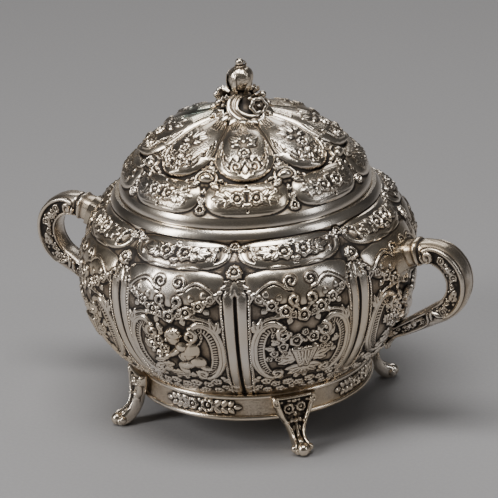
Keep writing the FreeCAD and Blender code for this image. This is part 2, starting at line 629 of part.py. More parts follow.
def make_lid_dome():
    body = new_body("lid_dome")
    bind(body, Placement=place(angle="lid_turn"))
    shell = [("0", DOME_Z), ("rim_top_r", DOME_Z, DOME_ARC), ("0", "dome_top_z")]
    revolve(body, "dome", draw(body, "dome_section", "XZ_Plane", shell))

    dome = ("0", DOME_CENTRE_Z, DOME_ARC)
    lobe = egg(body, "lid_lobe", dome, f"asin(lid_lobe_r / {DOME_ARC})", "lid_lobe")
    polar(body, "lid_lobes", [lobe], "lobe_count")
    lean = f"acos(({DOME_Z} + lid_pad_up - {DOME_CENTRE_Z}) / {DOME_ARC})"
    pad = egg(body, "lid_pad", dome, lean, "lid_pad")
    polar(body, "lid_pads", [pad], "lobe_count")
    ahead = f"({DOME_ARC} + flute_r - flute_deep)"
    flute = primitive(body, "SubtractiveTorus", "lid_flute",
                      f"placement(vector(0; 0; {DOME_CENTRE_Z}); rotation(vector(0; 0; 1); {HALF_LOBE})"
                      " * rotation(vector(1; 0; 0); 90))", Radius1=ahead, Radius2="flute_r")
    polar(body, "lid_flutes", [flute], "lobe_count")

    knob_z = f"({DOME_CENTRE_Z} + sqrt({DOME_ARC}^2 - knob_ring_r^2))"
    knob = primitive(body, "AdditiveSphere", "lid_knob",
                     place(f"knob_ring_r * cos{HALF_LOBE}", f"knob_ring_r * sin{HALF_LOBE}", knob_z),
                     Radius="knob_r")
    polar(body, "lid_knobs", [knob], "lobe_count")

    below = f"({DOME_Z} - 2 * lid_pad_deep)"
    beside = "(2 * rim_top_r)"
    top = f"({DOME_CENTRE_Z} + sqrt(({DOME_ARC} - wall)^2 - {BORE}^2))"
    hollow = [("0", below), (beside, below), (beside, DOME_Z),
              ("rim_top_r - wall", DOME_Z, f"({DOME_ARC} - wall)"), (BORE, top),
              (BORE, "dome_top_z + wall"), ("0", "dome_top_z + wall")]
    revolve(body, "lid_hollow", draw(body, "lid_hollow_section", "XZ_Plane", hollow), kind="Groove")
    return body


# Finial: a cast foot with roses and a bud above it, held by a pin, a washer and a nut.


def seat_z(r):
    """Height of the finial's seat on the dome, at a distance from the axis."""
    return f"({DOME_CENTRE_Z} + sqrt(({DOME_ARC} + seam)^2 - ({r})^2))"


def make_finial_base():
    body = new_body("finial_base")
    bind(body, Placement=place(angle="lid_turn"))
    skirt_z = f"({seat_z('finial_r')} + finial_skirt)"
    bell = [
        (BORE, seat_z(BORE), f"({DOME_ARC} + seam)", "hollow"),
        ("finial_r", seat_z("finial_r")),
        ("finial_r", skirt_z, "2 * finial_r", "hollow"),
        ("finial_waist_r", "finial_waist_z"),
        (BORE, "finial_waist_z"),
    ]
    revolve(body, "finial_bell", draw(body, "finial_bell_section", "XZ_Plane", bell))
    rose = primitive(body, "AdditiveSphere", "rose", place("rose_ring_r", "0", "rose_z"), Radius="rose_r")
    polar(body, "roses", [rose], "rose_count")
    return body


def make_finial_bud():
    grip_z = "(finial_waist_z + seam + screw_grip + seam)"
    return ring("finial_bud", [
        (BORE, "finial_waist_z + seam"),
        ("finial_waist_r", "finial_waist_z + seam", "2 * bud_r", "hollow"),
        ("bud_r", "bud_z", "1.5 * bud_r"),
        ("bud_top_r", "bud_top_z"),
        ("tip_r", "bud_top_z + tip_r / 2", "tip_r"),
        ("0", "bud_top_z + 1.5 * tip_r"),
        ("0", grip_z),
        (BORE, grip_z),
    ])


WASHER_TOP = f"({DOME_CENTRE_Z} + sqrt(({DOME_ARC} - wall)^2 - washer_r^2) - seam)"
NUT_TOP = f"({WASHER_TOP} - washer_thick - seam)"


def make_finial_screw():
    bottom = f"({NUT_TOP} - nut_thick - screw_tail)"
    top = "(finial_waist_z + seam + screw_grip)"
    return ring("finial_screw", [("0", bottom), ("screw_r", bottom), ("screw_r", top), ("0", top)])


def make_finial_washer():
    low = f"({WASHER_TOP} - washer_thick)"
    return ring("finial_washer", [(BORE, low), ("washer_r", low), ("washer_r", WASHER_TOP),
                                  (BORE, WASHER_TOP)])


def make_finial_nut():
    body = new_body("finial_nut")
    side = "(nut_flat_r * tan(30))"
    corner = "(nut_flat_r / cos(30))"
    hexagon = [("nut_flat_r", f"-{side}"), ("nut_flat_r", side), ("0", corner), ("-nut_flat_r", side),
               ("-nut_flat_r", f"-{side}"), ("0", f"-{corner}")]
    block = body.newObject("PartDesign::Pad", "nut_block")
    block.Profile = draw(body, "nut_outline", "XY_Plane", hexagon, place(z=f"{NUT_TOP} - nut_thick"))
    bind(block, Length="nut_thick")
    hole = [("0", f"{NUT_TOP} - 2 * nut_thick"), (BORE, f"{NUT_TOP} - 2 * nut_thick"),
            (BORE, f"{NUT_TOP} + nut_thick"), ("0", f"{NUT_TOP} + nut_thick")]
    revolve(body, "nut_hole", draw(body, "nut_hole_section", "XZ_Plane", hole), kind="Groove")
    return body


pieces = [
    make_bowl_body(),
    make_bowl_floor(),
    make_neck_ring(),
    make_foot_band(),
    make_wire("foot_band_upper_wire", f"({BAND_TOP} - wire_r)"),
    make_wire("foot_band_lower_wire", "(band_bottom_z + wire_r)"),
]
FEET = (("back_right", "45"), ("back_left", "135"), ("front_left", "225"), ("front_right", "315"))
for corner_name, turn in FEET:
    pieces.append(make_foot(f"foot_{corner_name}", turn))
for side_name, turn in (("right", "0"), ("left", "180")):
    pieces.append(make_handle(f"handle_{side_name}", turn))
    pieces.append(make_handle_socket(f"handle_socket_{side_name}", turn))
pieces += [
    make_lid_dome(),
    make_lid_rim(),
    make_lid_bezel(),
    make_finial_base(),
    make_finial_bud(),
    make_finial_screw(),
    make_finial_washer(),
    make_finial_nut(),
]

doc.recompute()
faulty = [item.Name for item in doc.Objects if {"Invalid", "Error"} & set(item.State)]
if faulty:
    raise RuntimeError(f"did not recompute: {faulty}")
for piece in pieces:
    shape = piece.Shape
    if shape.isNull() or not shape.isValid() or len(shape.Solids) != 1:
        raise RuntimeError(f"{piece.Label} is not one valid solid")
for piece in pieces:
    piece.Shape.exportStep(f"parts/{piece.Label}.step")
    box = piece.Shape.BoundBox
    print(f"{piece.Label:22s} {piece.Shape.Volume:9.1f} mm3  z {box.ZMin:6.2f} to {box.ZMax:6.2f}")
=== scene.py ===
# Covered silver sugar bowl: chased and repousse vessel and lid, cast feet, handles and finial.
# Sizes in the reliefs are millimetres along the metal; everything in the scene is metres.
import math

import bmesh
import bpy
import numpy as np
from mathutils import Matrix, Vector
from mathutils.bvhtree import BVHTree


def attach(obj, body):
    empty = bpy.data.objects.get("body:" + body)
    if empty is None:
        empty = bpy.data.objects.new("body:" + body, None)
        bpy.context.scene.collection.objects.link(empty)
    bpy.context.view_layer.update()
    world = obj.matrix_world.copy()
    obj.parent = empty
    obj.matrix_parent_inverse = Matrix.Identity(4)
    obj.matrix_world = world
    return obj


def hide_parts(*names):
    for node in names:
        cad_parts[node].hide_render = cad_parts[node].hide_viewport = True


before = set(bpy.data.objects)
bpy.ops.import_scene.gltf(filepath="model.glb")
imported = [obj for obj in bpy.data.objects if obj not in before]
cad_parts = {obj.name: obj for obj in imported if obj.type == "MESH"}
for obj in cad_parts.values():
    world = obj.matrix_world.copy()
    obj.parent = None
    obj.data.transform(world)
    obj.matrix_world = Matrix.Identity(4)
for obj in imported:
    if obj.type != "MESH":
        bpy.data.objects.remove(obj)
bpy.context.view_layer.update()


# ---- Camera, floor and light -------------------------------------------------------------------
# A product view from a little above, on a sweep of pale grey paper. A wide soft light overhead and
# one from the left give the silver its bright edges; two weaker ones open the right side and the back.
def look_at(place, target, roll=0.0):
    """Stands a camera or a light at a place, facing a target."""
    turn = (Vector(target) - Vector(place)).to_track_quat("-Z", "Y").to_matrix().to_4x4()
    return Matrix.Translation(place) @ turn @ Matrix.Rotation(roll, 4, "Z")


VIEW_TURN, VIEW_TILT, VIEW_ROLL, VIEW_FAR = math.radians(28.2), 21.4, math.radians(-3.1), 1.105
VIEW_TARGET, LIGHT_TARGET = Vector((0, 0, 0.055)), (0, 0, 0.06)


def around_view(turn, tilt, far):
    """A place round the bowl, turned to the right of the camera and tilted up, in degrees."""
    turn, tilt = VIEW_TURN + math.radians(turn), math.radians(tilt)
    return Vector((math.sin(turn) * math.cos(tilt), -math.cos(turn) * math.cos(tilt), math.sin(tilt))) * far


camera_data = bpy.data.cameras.new("camera")
camera_data.lens, camera_data.sensor_width, camera_data.clip_start = 239.6, 36.0, 0.05
camera = bpy.data.objects.new("camera", camera_data)
bpy.context.scene.collection.objects.link(camera)
camera.matrix_world = look_at(VIEW_TARGET + around_view(0, VIEW_TILT, VIEW_FAR), VIEW_TARGET, VIEW_ROLL)
bpy.context.scene.camera = camera

for name, place, size, power, colour in (
        ("light_overhead", around_view(-10, 78, 1.0), (0.6, 0.4), 8.8, (1.0, 0.985, 0.96)),
        ("light_left", around_view(-70, 30, 1.1), (0.24, 0.6), 6.6, (1.0, 0.98, 0.955)),
        ("light_right", around_view(62, 28, 1.2), (0.16, 0.6), 1.4, (0.97, 0.98, 1.0)),
        ("light_back", around_view(172, 40, 1.2), (0.8, 0.3), 2.0, (1.0, 0.98, 0.95))):
    data = bpy.data.lights.new(name, "AREA")
    data.shape = "RECTANGLE"
    data.size, data.size_y = size
    data.energy, data.color = power, colour
    lamp = bpy.data.objects.new(name, data)
    bpy.context.scene.collection.objects.link(lamp)
    lamp.matrix_world = look_at(place, LIGHT_TARGET)

world = bpy.data.worlds.new("room")
bpy.context.scene.world = world
world.use_nodes = True
room_light = world.node_tree.nodes["Background"].inputs
room_light["Color"].default_value, room_light["Strength"].default_value = (0.60, 0.585, 0.57, 1), 0.10


def new_material(name):
    material = bpy.data.materials.new(name)
    material.use_nodes = True
    nodes = material.node_tree.nodes
    return material, nodes, material.node_tree.links, nodes["Principled BSDF"]


def add_noise(nodes, links, coords, scale, detail=3.0):
    noise = nodes.new("ShaderNodeTexNoise")
    noise.inputs["Scale"].default_value = scale
    noise.inputs["Detail"].default_value = detail
    noise.inputs["Roughness"].default_value = 0.55
    links.new(coords.outputs["Object"], noise.inputs["Vector"])
    return noise


def add_ramp(nodes, links, source, stops):
    """Colour ramp from a value: stops are (place, grey or colour)."""
    ramp = nodes.new("ShaderNodeValToRGB")
    while len(ramp.color_ramp.elements) < len(stops):
        ramp.color_ramp.elements.new(0.5)
    for element, (place, tone) in zip(ramp.color_ramp.elements, stops):
        element.position = place
        element.color = (*(tone if isinstance(tone, tuple) else (tone,) * 3), 1)
    links.new(source, ramp.inputs["Fac"])
    return ramp


floor_half, sweep_back, sweep_high, sweep_round = 3.0, 1.6, 2.2, 0.9
sweep = bmesh.new()
outline = [(-floor_half, 0.0)]
outline += [(sweep_back - sweep_round + sweep_round * math.sin(a), sweep_round - sweep_round * math.cos(a))
            for a in np.linspace(0, math.pi / 2, 24)]
outline += [(sweep_back, sweep_high)]
rows = []
for away, high in outline:
    rows.append([sweep.verts.new((side, away, high)) for side in (-floor_half, floor_half)])
for low, high in zip(rows, rows[1:]):
    sweep.faces.new((low[0], low[1], high[1], high[0])).smooth = True
sweep.transform(Matrix.Rotation(VIEW_TURN, 4, "Z"))
floor_mesh = bpy.data.meshes.new("floor")
sweep.to_mesh(floor_mesh)
floor = bpy.data.objects.new("floor", floor_mesh)
bpy.context.scene.collection.objects.link(floor)
paper, nodes, links, shader = new_material("grey_paper")
coords = nodes.new("ShaderNodeTexCoord")
grain = add_noise(nodes, links, coords, 900.0)
tone = add_ramp(nodes, links, grain.outputs["Fac"],
                [(0.3, (0.292, 0.289, 0.297)), (0.7, (0.315, 0.312, 0.320))])
links.new(tone.outputs["Color"], shader.inputs["Base Color"])
shader.inputs["Roughness"].default_value = 0.7
floor_mesh.materials.append(paper)


# ---- Chased vessel ------------------------------------------------------------------------------
# One sheet of silver raised into eight lobes, embossed from inside and chased from outside: oblong
# pads round the shoulder, and below them rose festoons over a child or a basket among scrolls. Two
# plain strips part the panels, and the dark of old polish stays in the recesses.
MM = 0.001


def smooth_curve(points, per_span=12):
    """Catmull-Rom curve through a few points; extra columns, such as a width, run along with it."""
    points = np.array(points, float)
    ends = np.vstack([2 * points[0] - points[1], points, 2 * points[-1] - points[-2]])
    out = []
    for p0, p1, p2, p3 in zip(ends, ends[1:], ends[2:], ends[3:]):
        for t in np.linspace(0, 1, per_span, endpoint=False):
            out.append(0.5 * (2 * p1 + (p2 - p0) * t + (2 * p0 - 5 * p1 + 4 * p2 - p3) * t ** 2
                              + (3 * p1 - p0 - 3 * p2 + p3) * t ** 3))
    return np.array(out + [points[-1]])


def spiral(x, y, radius, start, turns, hand, shrink=0.18, steps=26):
    """Points of a volute that winds inwards from its rim; start is the angle of the rim end."""
    t = np.linspace(0, 1, steps)
    angle = math.radians(start) + hand * t * turns * 2 * math.pi
    r = radius * (1 - (1 - shrink) * t)
    return np.stack([x + r * np.cos(angle), y + r * np.sin(angle)], 1)


def soften(field, cells):
    """Gaussian blur of a grid, by a radius in cells."""
    reach = max(1, int(3 * cells))
    weights = np.exp(-0.5 * (np.arange(-reach, reach + 1) / cells) ** 2)
    weights /= weights.sum()
    for axis in (0, 1):
        pad = [(0, 0), (0, 0)]
        pad[axis] = (reach, reach)
        wide = np.pad(field, pad, mode="edge")
        length = field.shape[axis]
        field = sum(w * np.take(wide, range(i, i + length), axis=axis) for i, w in enumerate(weights))
    return field


class Relief:
    """Chased ornament on a grid of places (x, y). swell is the broad form, height the ornament on it,
    and bare marks the smooth metal that no punch has touched."""

    def __init__(self, x, y):
        self.x, self.y = x, y
        self.swell, self.height, self.bare = (np.zeros_like(x) for _ in range(3))

    def near(self, x, y, reach):
        """The cells round a place, so that each form is worked out only where it lies."""
        return (np.abs(self.x - x) < reach) & (np.abs(self.y - y) < reach)

    def lay(self, spots, height):
        """Raises metal to a height where it isn't higher yet."""
        self.height[spots] = np.maximum(self.height[spots], height)

    def boss(self, x, y, wide, tall, height, turn=0.0, power=0.55):
        """Smooth oval bump; a higher power makes it more pointed."""
        near = self.near(x, y, max(wide, tall) * 1.1)
        a, b = self.turned(near, x, y, turn)
        self.lay(near, height * np.clip(1 - (a / wide) ** 2 - (b / tall) ** 2, 0, 1) ** power)

    def turned(self, near, x, y, turn):
        """The near cells' places, seen from (x, y) and along a direction in degrees."""
        c, s = math.cos(math.radians(turn)), math.sin(math.radians(turn))
        dx, dy = self.x[near] - x, self.y[near] - y
        return dx * c + dy * s, dy * c - dx * s

    def rose(self, x, y, radius, height=0.5, petals=5, turn=0.0):
        """Open rose: ruffled petals round a sunk ring with a button in it."""
        near = self.near(x, y, radius * 1.2)
        a, b = self.turned(near, x, y, turn)
        far, angle = np.hypot(a, b) / (1.08 * radius), np.arctan2(b, a)
        edge = 0.93 + 0.07 * np.cos(petals * angle)
        ring = np.clip((far - 0.46) / (edge - 0.46), 0, 1)
        petal = np.sin(np.pi * ring ** 0.8) ** 0.7 * (0.88 + 0.12 * np.cos(petals * angle))
        button = 0.85 * np.clip(1 - (far / 0.27) ** 2, 0, 1) ** 0.5
        self.height[near] = np.where(far < edge, height * np.maximum(petal, button), self.height[near])

    def leaf(self, x, y, turn, length, wide, height=0.4, teeth=0):
        """Leaf from its stem at (x, y), with a sunk middle vein."""
        near = self.near(x, y, length * 1.1 + wide)
        a, b = self.turned(near, x, y, turn)
        t = np.clip(a / length, 0, 1)
        half = wide * np.sin(np.pi * t ** 0.75) ** 0.8 * (1 + 0.18 * np.cos(2 * np.pi * teeth * t))
        inside = np.clip(1 - (b / np.maximum(half, 1e-3)) ** 2, 0, 1) * (a > 0) * (a < length)
        vein = 1 - 0.5 * np.exp(-(b / (0.16 * wide)) ** 2)
        self.lay(near, height * inside ** 0.5 * vein)

    def stroke(self, points, wide, height, taper=(1, 1), shape="round", flutes=0.0, sink=False):
        """Raised moulding along a line of points. taper scales its width from end to end. shape is
        round, or hollow for a band between two rims, whose hollow carries flutes this far apart."""
        points = np.array(points)[:, :2]
        spans = np.diff(points, axis=0)
        lengths = np.hypot(*spans.T) + 1e-9
        run = np.concatenate([[0], np.cumsum(lengths)])
        low, high = points.min(0) - wide, points.max(0) + wide
        near = ((self.x > low[0]) & (self.x < high[0]) & (self.y > low[1]) & (self.y < high[1]))
        px, py = self.x[near], self.y[near]
        best = np.full(px.shape, 1e9)
        side, along = np.zeros_like(px), np.zeros_like(px)
        for start, span, length, before in zip(points, spans, lengths, run):
            dx, dy = px - start[0], py - start[1]
            t = np.clip((dx * span[0] + dy * span[1]) / length ** 2, 0, 1)
            gap = np.hypot(dx - t * span[0], dy - t * span[1])
            closer = gap < best
            best = np.where(closer, gap, best)
            side = np.where(closer, np.sign(span[0] * dy - span[1] * dx), side)
            along = np.where(closer, before + t * length, along)
        share = along / run[-1]
        if len(taper) == 2:
            half = wide * (taper[0] + (taper[1] - taper[0]) * share)
        else:
            half = wide * np.interp(share, np.linspace(0, 1, len(taper)), taper)
        b = best / np.maximum(half, 1e-6)
        if shape == "round":
            rise = np.clip(1 - b ** 2, 0, 1) ** 0.5
        else:
            rim = np.exp(-((b - 0.8) / 0.2) ** 2) * (b < 1.15)
            floor_rise = 0.35 * (b < 1)
            if flutes:
                floor_rise = floor_rise * (0.75 + 0.55 * np.cos(2 * np.pi * along / flutes + 1.2 * side * b))
            rise = np.maximum(rim, floor_rise)
        if sink:
            self.height[near] -= height * rise
        else:
            cover = b < (1 if shape == "round" else 1.1)
            below = self.height[near]
            self.height[near] = np.where(cover, np.maximum(height * rise, 0.6 * below * (b > 0.9)), below)

    def tarnish_and_shade(self, cell, ground=0.22):
        """How dark the metal is, 0 to 1: deep and narrow places hold the dark."""
        total = self.swell + self.height
        fine = np.clip((soften(total, 0.4 / cell) - total) / 0.11, -0.8, 1)
        broad = np.clip((soften(total, 1.4 / cell) - total) / 0.36, -0.8, 1)
        return np.clip(0.03 + 0.62 * fine + 0.5 * broad + ground * self.ground(), 0, 1)

    def uneven(self, seed, cells, depth):
        """The small unevenness that hammer and punches leave."""
        noise = np.random.default_rng(seed).normal(size=self.x.shape)
        noise = soften(noise, cells)
        self.height += depth * noise / noise.std()

    def ground(self):
        """1 where the low, punched ground shows, 0 on ornament and on plain polished metal."""
        return np.clip(1 - self.height / 0.15, 0, 1) * (1 - self.bare)


# Outline of the vessel over the middle of a lobe: two arcs that meet upright at the belly.
BELLY_R, BELLY_Z = 56.5, 53.3
LOWER_ARC, UPPER_ARC, LOBE_SHIFT = 42.35, 24.05, 15.0
BASE_Z, SHOULDER_Z, NECK_R, NECK_Z = 19.3, 73.1, 44.6, 75.7
LOWER_TURN = math.asin((BELLY_Z - BASE_Z) / LOWER_ARC)
UPPER_TURN = math.asin((SHOULDER_Z - BELLY_Z) / UPPER_ARC)
SHOULDER_RUN = LOWER_ARC * LOWER_TURN + UPPER_ARC * UPPER_TURN
VESSEL_RUN = SHOULDER_RUN + 3.1
LOBES = 8
STRIP_TOP_Z, LEAST_ROSE = 60.0, 1.1


def vessel_outline(run):
    """Distance from the axis and height of the vessel, along its outline from the bottom edge."""
    belly = LOWER_ARC * LOWER_TURN
    low = run / LOWER_ARC - LOWER_TURN
    high = (run - belly) / UPPER_ARC
    r = np.where(run < belly, BELLY_R - LOWER_ARC + LOWER_ARC * np.cos(low),
                 BELLY_R - UPPER_ARC + UPPER_ARC * np.cos(np.clip(high, 0, UPPER_TURN)))
    z = np.where(run < belly, BELLY_Z + LOWER_ARC * np.sin(low),
                 BELLY_Z + UPPER_ARC * np.sin(np.clip(high, 0, UPPER_TURN)))
    past = np.clip((run - SHOULDER_RUN) / (VESSEL_RUN - SHOULDER_RUN), 0, 1)
    return r + past * (NECK_R - (BELLY_R - UPPER_ARC + UPPER_ARC * math.cos(UPPER_TURN))), \
        z + past * (NECK_Z - SHOULDER_Z)


def run_at(z):
    """Place along the outline at a height."""
    if z < BELLY_Z:
        return LOWER_ARC * (LOWER_TURN - math.asin((BELLY_Z - z) / LOWER_ARC))
    return LOWER_ARC * LOWER_TURN + UPPER_ARC * math.asin((z - BELLY_Z) / UPPER_ARC)


def vessel_surface(angle, run):
    """Point of the lobed surface; angle is from the middle of a lobe, in radians."""
    r, z = vessel_outline(run)
    r = LOBE_SHIFT * np.cos(angle) + np.sqrt((r - LOBE_SHIFT) ** 2 - (LOBE_SHIFT * np.sin(angle)) ** 2)
    return np.stack([r * np.cos(angle), r * np.sin(angle), z], -1)


def displaced(points, height):
    """Moves a grid of points along its own normals."""
    du, dv = np.gradient(points, axis=1), np.gradient(points, axis=0)
    normal = np.cross(du, dv)
    normal /= np.linalg.norm(normal, axis=-1, keepdims=True) + 1e-12
    return points + normal * height[..., None]


def turned_about_z(points, angle):
    """Points carried round the axis of the bowl."""
    c, s = math.cos(angle), math.sin(angle)
    return points @ np.array([[c, s, 0], [-s, c, 0], [0, 0, 1]])


def draw_pad(relief, middle, half_long, half_tall, swell, rose_gap, rose_size, high=1.0):
    """Oblong pad with a smooth rim, and in it two roses between sprigs of leaves."""
    a, b = relief.x / half_long, (relief.y - middle) / half_tall
    cushion = np.clip(1 - (np.abs(a) ** 3.4 + np.abs(b) ** 2.4), 0, 1)
    relief.swell += swell * cushion ** 0.5
    relief.bare = np.maximum(relief.bare, (cushion > 0) * 1.0)
    # an engraved line round the field, rounded at both ends, with a curl in every corner
    tall = half_tall - 1.75
    inner = (np.abs(relief.x) / (half_long - 2.7)) ** 3 + (np.abs(relief.y - middle) / tall) ** 3
    depth = (1 - inner ** (1 / 3)) * tall
    relief.height -= 0.65 * np.exp(-(depth / 0.28) ** 2)
    field = np.clip(depth / 0.4, 0, 1)
    relief.height -= 0.15 * field
    relief.bare = relief.bare * (1 - 0.9 * field)
    for side in (-1, 1):
        for way in (-1, 1):
            relief.stroke(spiral(side * (half_long - 4.9), middle + way * tall * 0.42, 0.75, 90 * way,
                                 0.8, -side * way, shrink=0.3), 0.3, 0.4)
        relief.rose(side * rose_gap, middle, rose_size, 0.95 * high, petals=6, turn=20 * side)
        stem = rose_gap + rose_size * 0.8
        for out, turn, length, wide in ((0, 48, 3.2, 1.05), (0, -48, 3.2, 1.05), (1.9, 30, 3.3, 0.95),
                                        (1.9, -30, 3.3, 0.95), (2.9, 0, 3.5, 0.8)):
            relief.leaf(side * (stem + out), middle + 0.35 * np.sign(turn), mirrored(turn, side),
                        length, wide, 0.62 * high)
        relief.boss(side * 0.7, middle + side * rose_size * 0.95, 0.85, 0.75, 0.6 * high)
        relief.boss(side * 0.6, middle - side * rose_size * 0.95, 0.95, 0.75, 0.6 * high)


def mirrored(turn, side):
    """Direction of a leaf on the right half, or of its twin on the left, in degrees."""
    return turn if side > 0 else 180 - turn


def on_panel(side, points):
    """Places on a panel from (x, z): out from its middle to one side, and the height above the floor."""
    return [(side * x, run_at(z)) for x, z in points]


def strip_width(run):
    """Width of one pilaster strip, which narrows toward the foot."""
    return np.interp(run, [0, run_at(30), run_at(53), run_at(STRIP_TOP_Z)], [2.2, 2.7, 3.2, 3.4])


def draw_bunch(relief, flowers, rose_high, bud_high, squash, turns, side=1, gain=0.0):
    """Roses, and plain buds where one is too small for petals. Each flower is (x, z, size)."""
    for step, (x, z, size) in enumerate(flowers):
        if size > LEAST_ROSE:
            relief.rose(side * x, run_at(z), size, rose_high + gain * size, turn=turns[0] * step)
        else:
            relief.boss(side * x, run_at(z), size, size * squash, bud_high, turn=turns[1] * step)


def beside(line, gap):
    """The same line, moved sideways."""
    along = np.gradient(np.array(line, float), axis=0)
    along /= np.hypot(*along.T)[:, None]
    return line + np.stack([-along[:, 1], along[:, 0]], 1) * gap


def draw_frame(relief):
    """What every panel has: pilaster strips, border, spirals, rose festoon and two great scrolls."""
    x, y = relief.x, relief.y
    upper = run_at(STRIP_TOP_Z)
    # plain convex top of the panel, cut off below by a wavy line
    wave = 0.5 * np.cos(np.abs(x) / 2.1)
    crown = np.clip(1 - (np.abs(x) / 17.8) ** 4 - (np.abs(y + wave - run_at(62.6)) / 6.2) ** 3, 0, 1)
    relief.swell += 0.95 * crown ** 0.6
    relief.bare = np.maximum(relief.bare, np.clip(crown * 8, 0, 1))
    # two rounded strips of each pilaster, on both sides of the groove
    wide = strip_width(y)
    groove = relief.edge_gap
    strip = np.clip(1 - (np.abs(groove - 0.5 - wide / 2) / (wide / 2)) ** 2.6, 0, 1) ** 0.6
    strip = strip * np.clip((upper + 1.6 - y) / 1.2, 0, 1)
    relief.swell += 0.62 * strip
    relief.bare = np.maximum(relief.bare, (strip > 0) * 1.0)
    relief.swell -= 0.22 * np.exp(-(groove / 0.35) ** 2) * (y < upper + 2)
    # the field swells toward its middle; a raised thread runs round it
    relief.swell += (0.55 * np.clip(1 - (x / 15.5) ** 2, 0, 1)
                     * np.clip(1 - ((y - run_at(41)) / 19) ** 2, 0, 1))
    thread = groove - (1.35 + wide)
    relief.height += 0.34 * np.exp(-(thread / 0.3) ** 2) * (y < run_at(60.5))
    for side in (-1, 1):
        # spirals and their trailing line on the plain top
        relief.stroke(spiral(side * 3.1, run_at(63.8), 2.5, 270, 1.4, side, steps=34), 0.42, 0.6,
                      taper=(1, 0.8))
        tail = smooth_curve([(side * 3.1, run_at(63.8) - 2.5), (side * 5.4, run_at(63.8) - 1.9),
                             (side * 6.6, run_at(63.4) - 0.2)]
                            + on_panel(side, [(9.0, 64.0), (12.4, 62.6), (15.0, 60.4), (16.6, 58.4)]))
        relief.stroke(tail, 0.42, 0.55, taper=(1, 1, 0.7))
        relief.stroke(tail - np.array([0, 0.85]), 0.2, 0.35, sink=True)
        relief.stroke(tail + np.array([0, 0.75]), 0.16, 0.25, sink=True)
        # great scroll beside the cartouche: a smooth outer band and a fluted inner one
        sweep_points = smooth_curve(on_panel(side, [
            (6.6, 44.4), (8.4, 46.0), (7.6, 49.4), (10.4, 51.0), (13.8, 49.2), (15.6, 45.4),
            (15.9, 40.5), (14.7, 35.2), (11.6, 31.0), (8.4, 29.6)]), per_span=10)
        relief.stroke(beside(sweep_points, -side * 1.9), 1.4, 0.62,
                      taper=(0.1, 0.2, 0.5, 0.9, 1, 1, 1, 0.9, 0.6, 0.3), shape="hollow", flutes=1.05)
        relief.stroke(sweep_points, 1.15, 0.95, taper=(0.5, 0.7, 0.9, 1, 1, 1, 1, 1, 0.8, 0.5))
        relief.stroke(sweep_points, 0.2, 0.3, taper=(0.3, 1, 1, 1, 0.3), sink=True)
        relief.stroke(spiral(side * 6.7, run_at(46.9), 2.35, 90, 1.2, -side, shrink=0.25), 0.8, 1.15,
                      taper=(1, 0.8))
        relief.stroke(spiral(side * 8.0, run_at(31.8), 2.0, 270, 1.0, -side, shrink=0.3), 0.7, 1.0,
                      taper=(1, 0.8))
        # leaf line that grows from the scroll, and the acanthus in the corner
        relief.stroke(smooth_curve(on_panel(side, [(2.6, 52.4), (7.4, 53.1), (11.6, 52.6), (14.6, 50.8)])),
                      0.55, 0.6, taper=(0.3, 1, 0.7))
        for turn, length, thick in ((104, 5.8, 1.3), (74, 4.8, 1.15), (132, 4.4, 1.1), (50, 3.4, 0.9)):
            relief.leaf(side * 14.9, run_at(47.6), mirrored(turn, side), length, thick, 0.85, teeth=2)
        # festoon of roses from the corner to the middle, on a bed of leaves
        for fx, fz, turn in ((4.4, 52.4, -70), (8.0, 54.0, -60), (12.0, 56.0, -50), (4.2, 56.6, 100),
                             (8.0, 58.4, 110), (12.0, 59.6, 110)):
            relief.leaf(side * fx, run_at(fz), mirrored(turn, side), 2.2, 0.85, 0.4)
        draw_bunch(relief, ((16.6, 61.4, 0.8), (15.4, 60.4, 1.0), (13.9, 59.2, 1.35), (12.1, 58.3, 0.9),
                            (10.2, 57.0, 1.95), (8.1, 55.5, 1.15), (5.9, 54.8, 2.25), (3.5, 53.6, 1.2),
                            (3.6, 55.6, 0.75), (8.4, 57.6, 0.7)),
                   0.45, 0.55, 0.85, (37, 30), side, gain=0.2)
        # ribbon loops over the middle rose
        relief.stroke(spiral(side * 2.7, run_at(58.3), 1.9, 250 if side > 0 else 290, 1.0, side, shrink=0.35),
                      0.7, 0.95, taper=(1, 0.7))
        relief.stroke(smooth_curve(on_panel(side, [(3.0, 56.6), (1.7, 55.6), (1.3, 54.3)])), 0.6, 0.8,
                      taper=(1, 0.6))
        # flowers and leaves along the foot of the panel
        for fx, fz, turn in ((2.2, 29.6, 150), (5.6, 29.2, 30), (12.8, 27.4, 40), (13.4, 24.6, 10),
                             (2.4, 22.6, -20), (7.2, 21.8, 10), (11.4, 22.4, 0), (12.8, 31.0, 95),
                             (8.2, 28.4, 60)):
            relief.leaf(side * fx, run_at(fz), mirrored(turn, side), 3.2, 0.95, 0.55)
        draw_bunch(relief, ((3.6, 27.0, 1.85), (7.4, 26.4, 1.6), (10.6, 28.0, 1.75), (5.2, 23.4, 1.5),
                            (9.2, 23.2, 1.45), (12.2, 24.8, 1.25), (1.6, 24.2, 1.2), (13.2, 29.4, 0.95),
                            (14.2, 27.0, 0.8), (1.4, 29.2, 0.95)), 0.95, 0.65, 0.8, (50, 40), side)
        # soft pendant below the button at the head of the pilaster
        head = relief.edge_at(run_at(62.6)) * side
        relief.boss(head, run_at(62.4), 1.6, 2.8, 0.9)
        for drop, turn, length in ((0.4, 232, 4.0), (0.2, 196, 4.2), (0.0, 160, 3.2)):
            relief.leaf(head - side * 0.6, run_at(63.6) - drop, mirrored(turn, side), length, 0.95, 0.6,
                        teeth=2)
    relief.rose(0, run_at(53.1), 2.25, 0.95)
    relief.rose(0, run_at(26.0), 1.8, 0.9, petals=6)


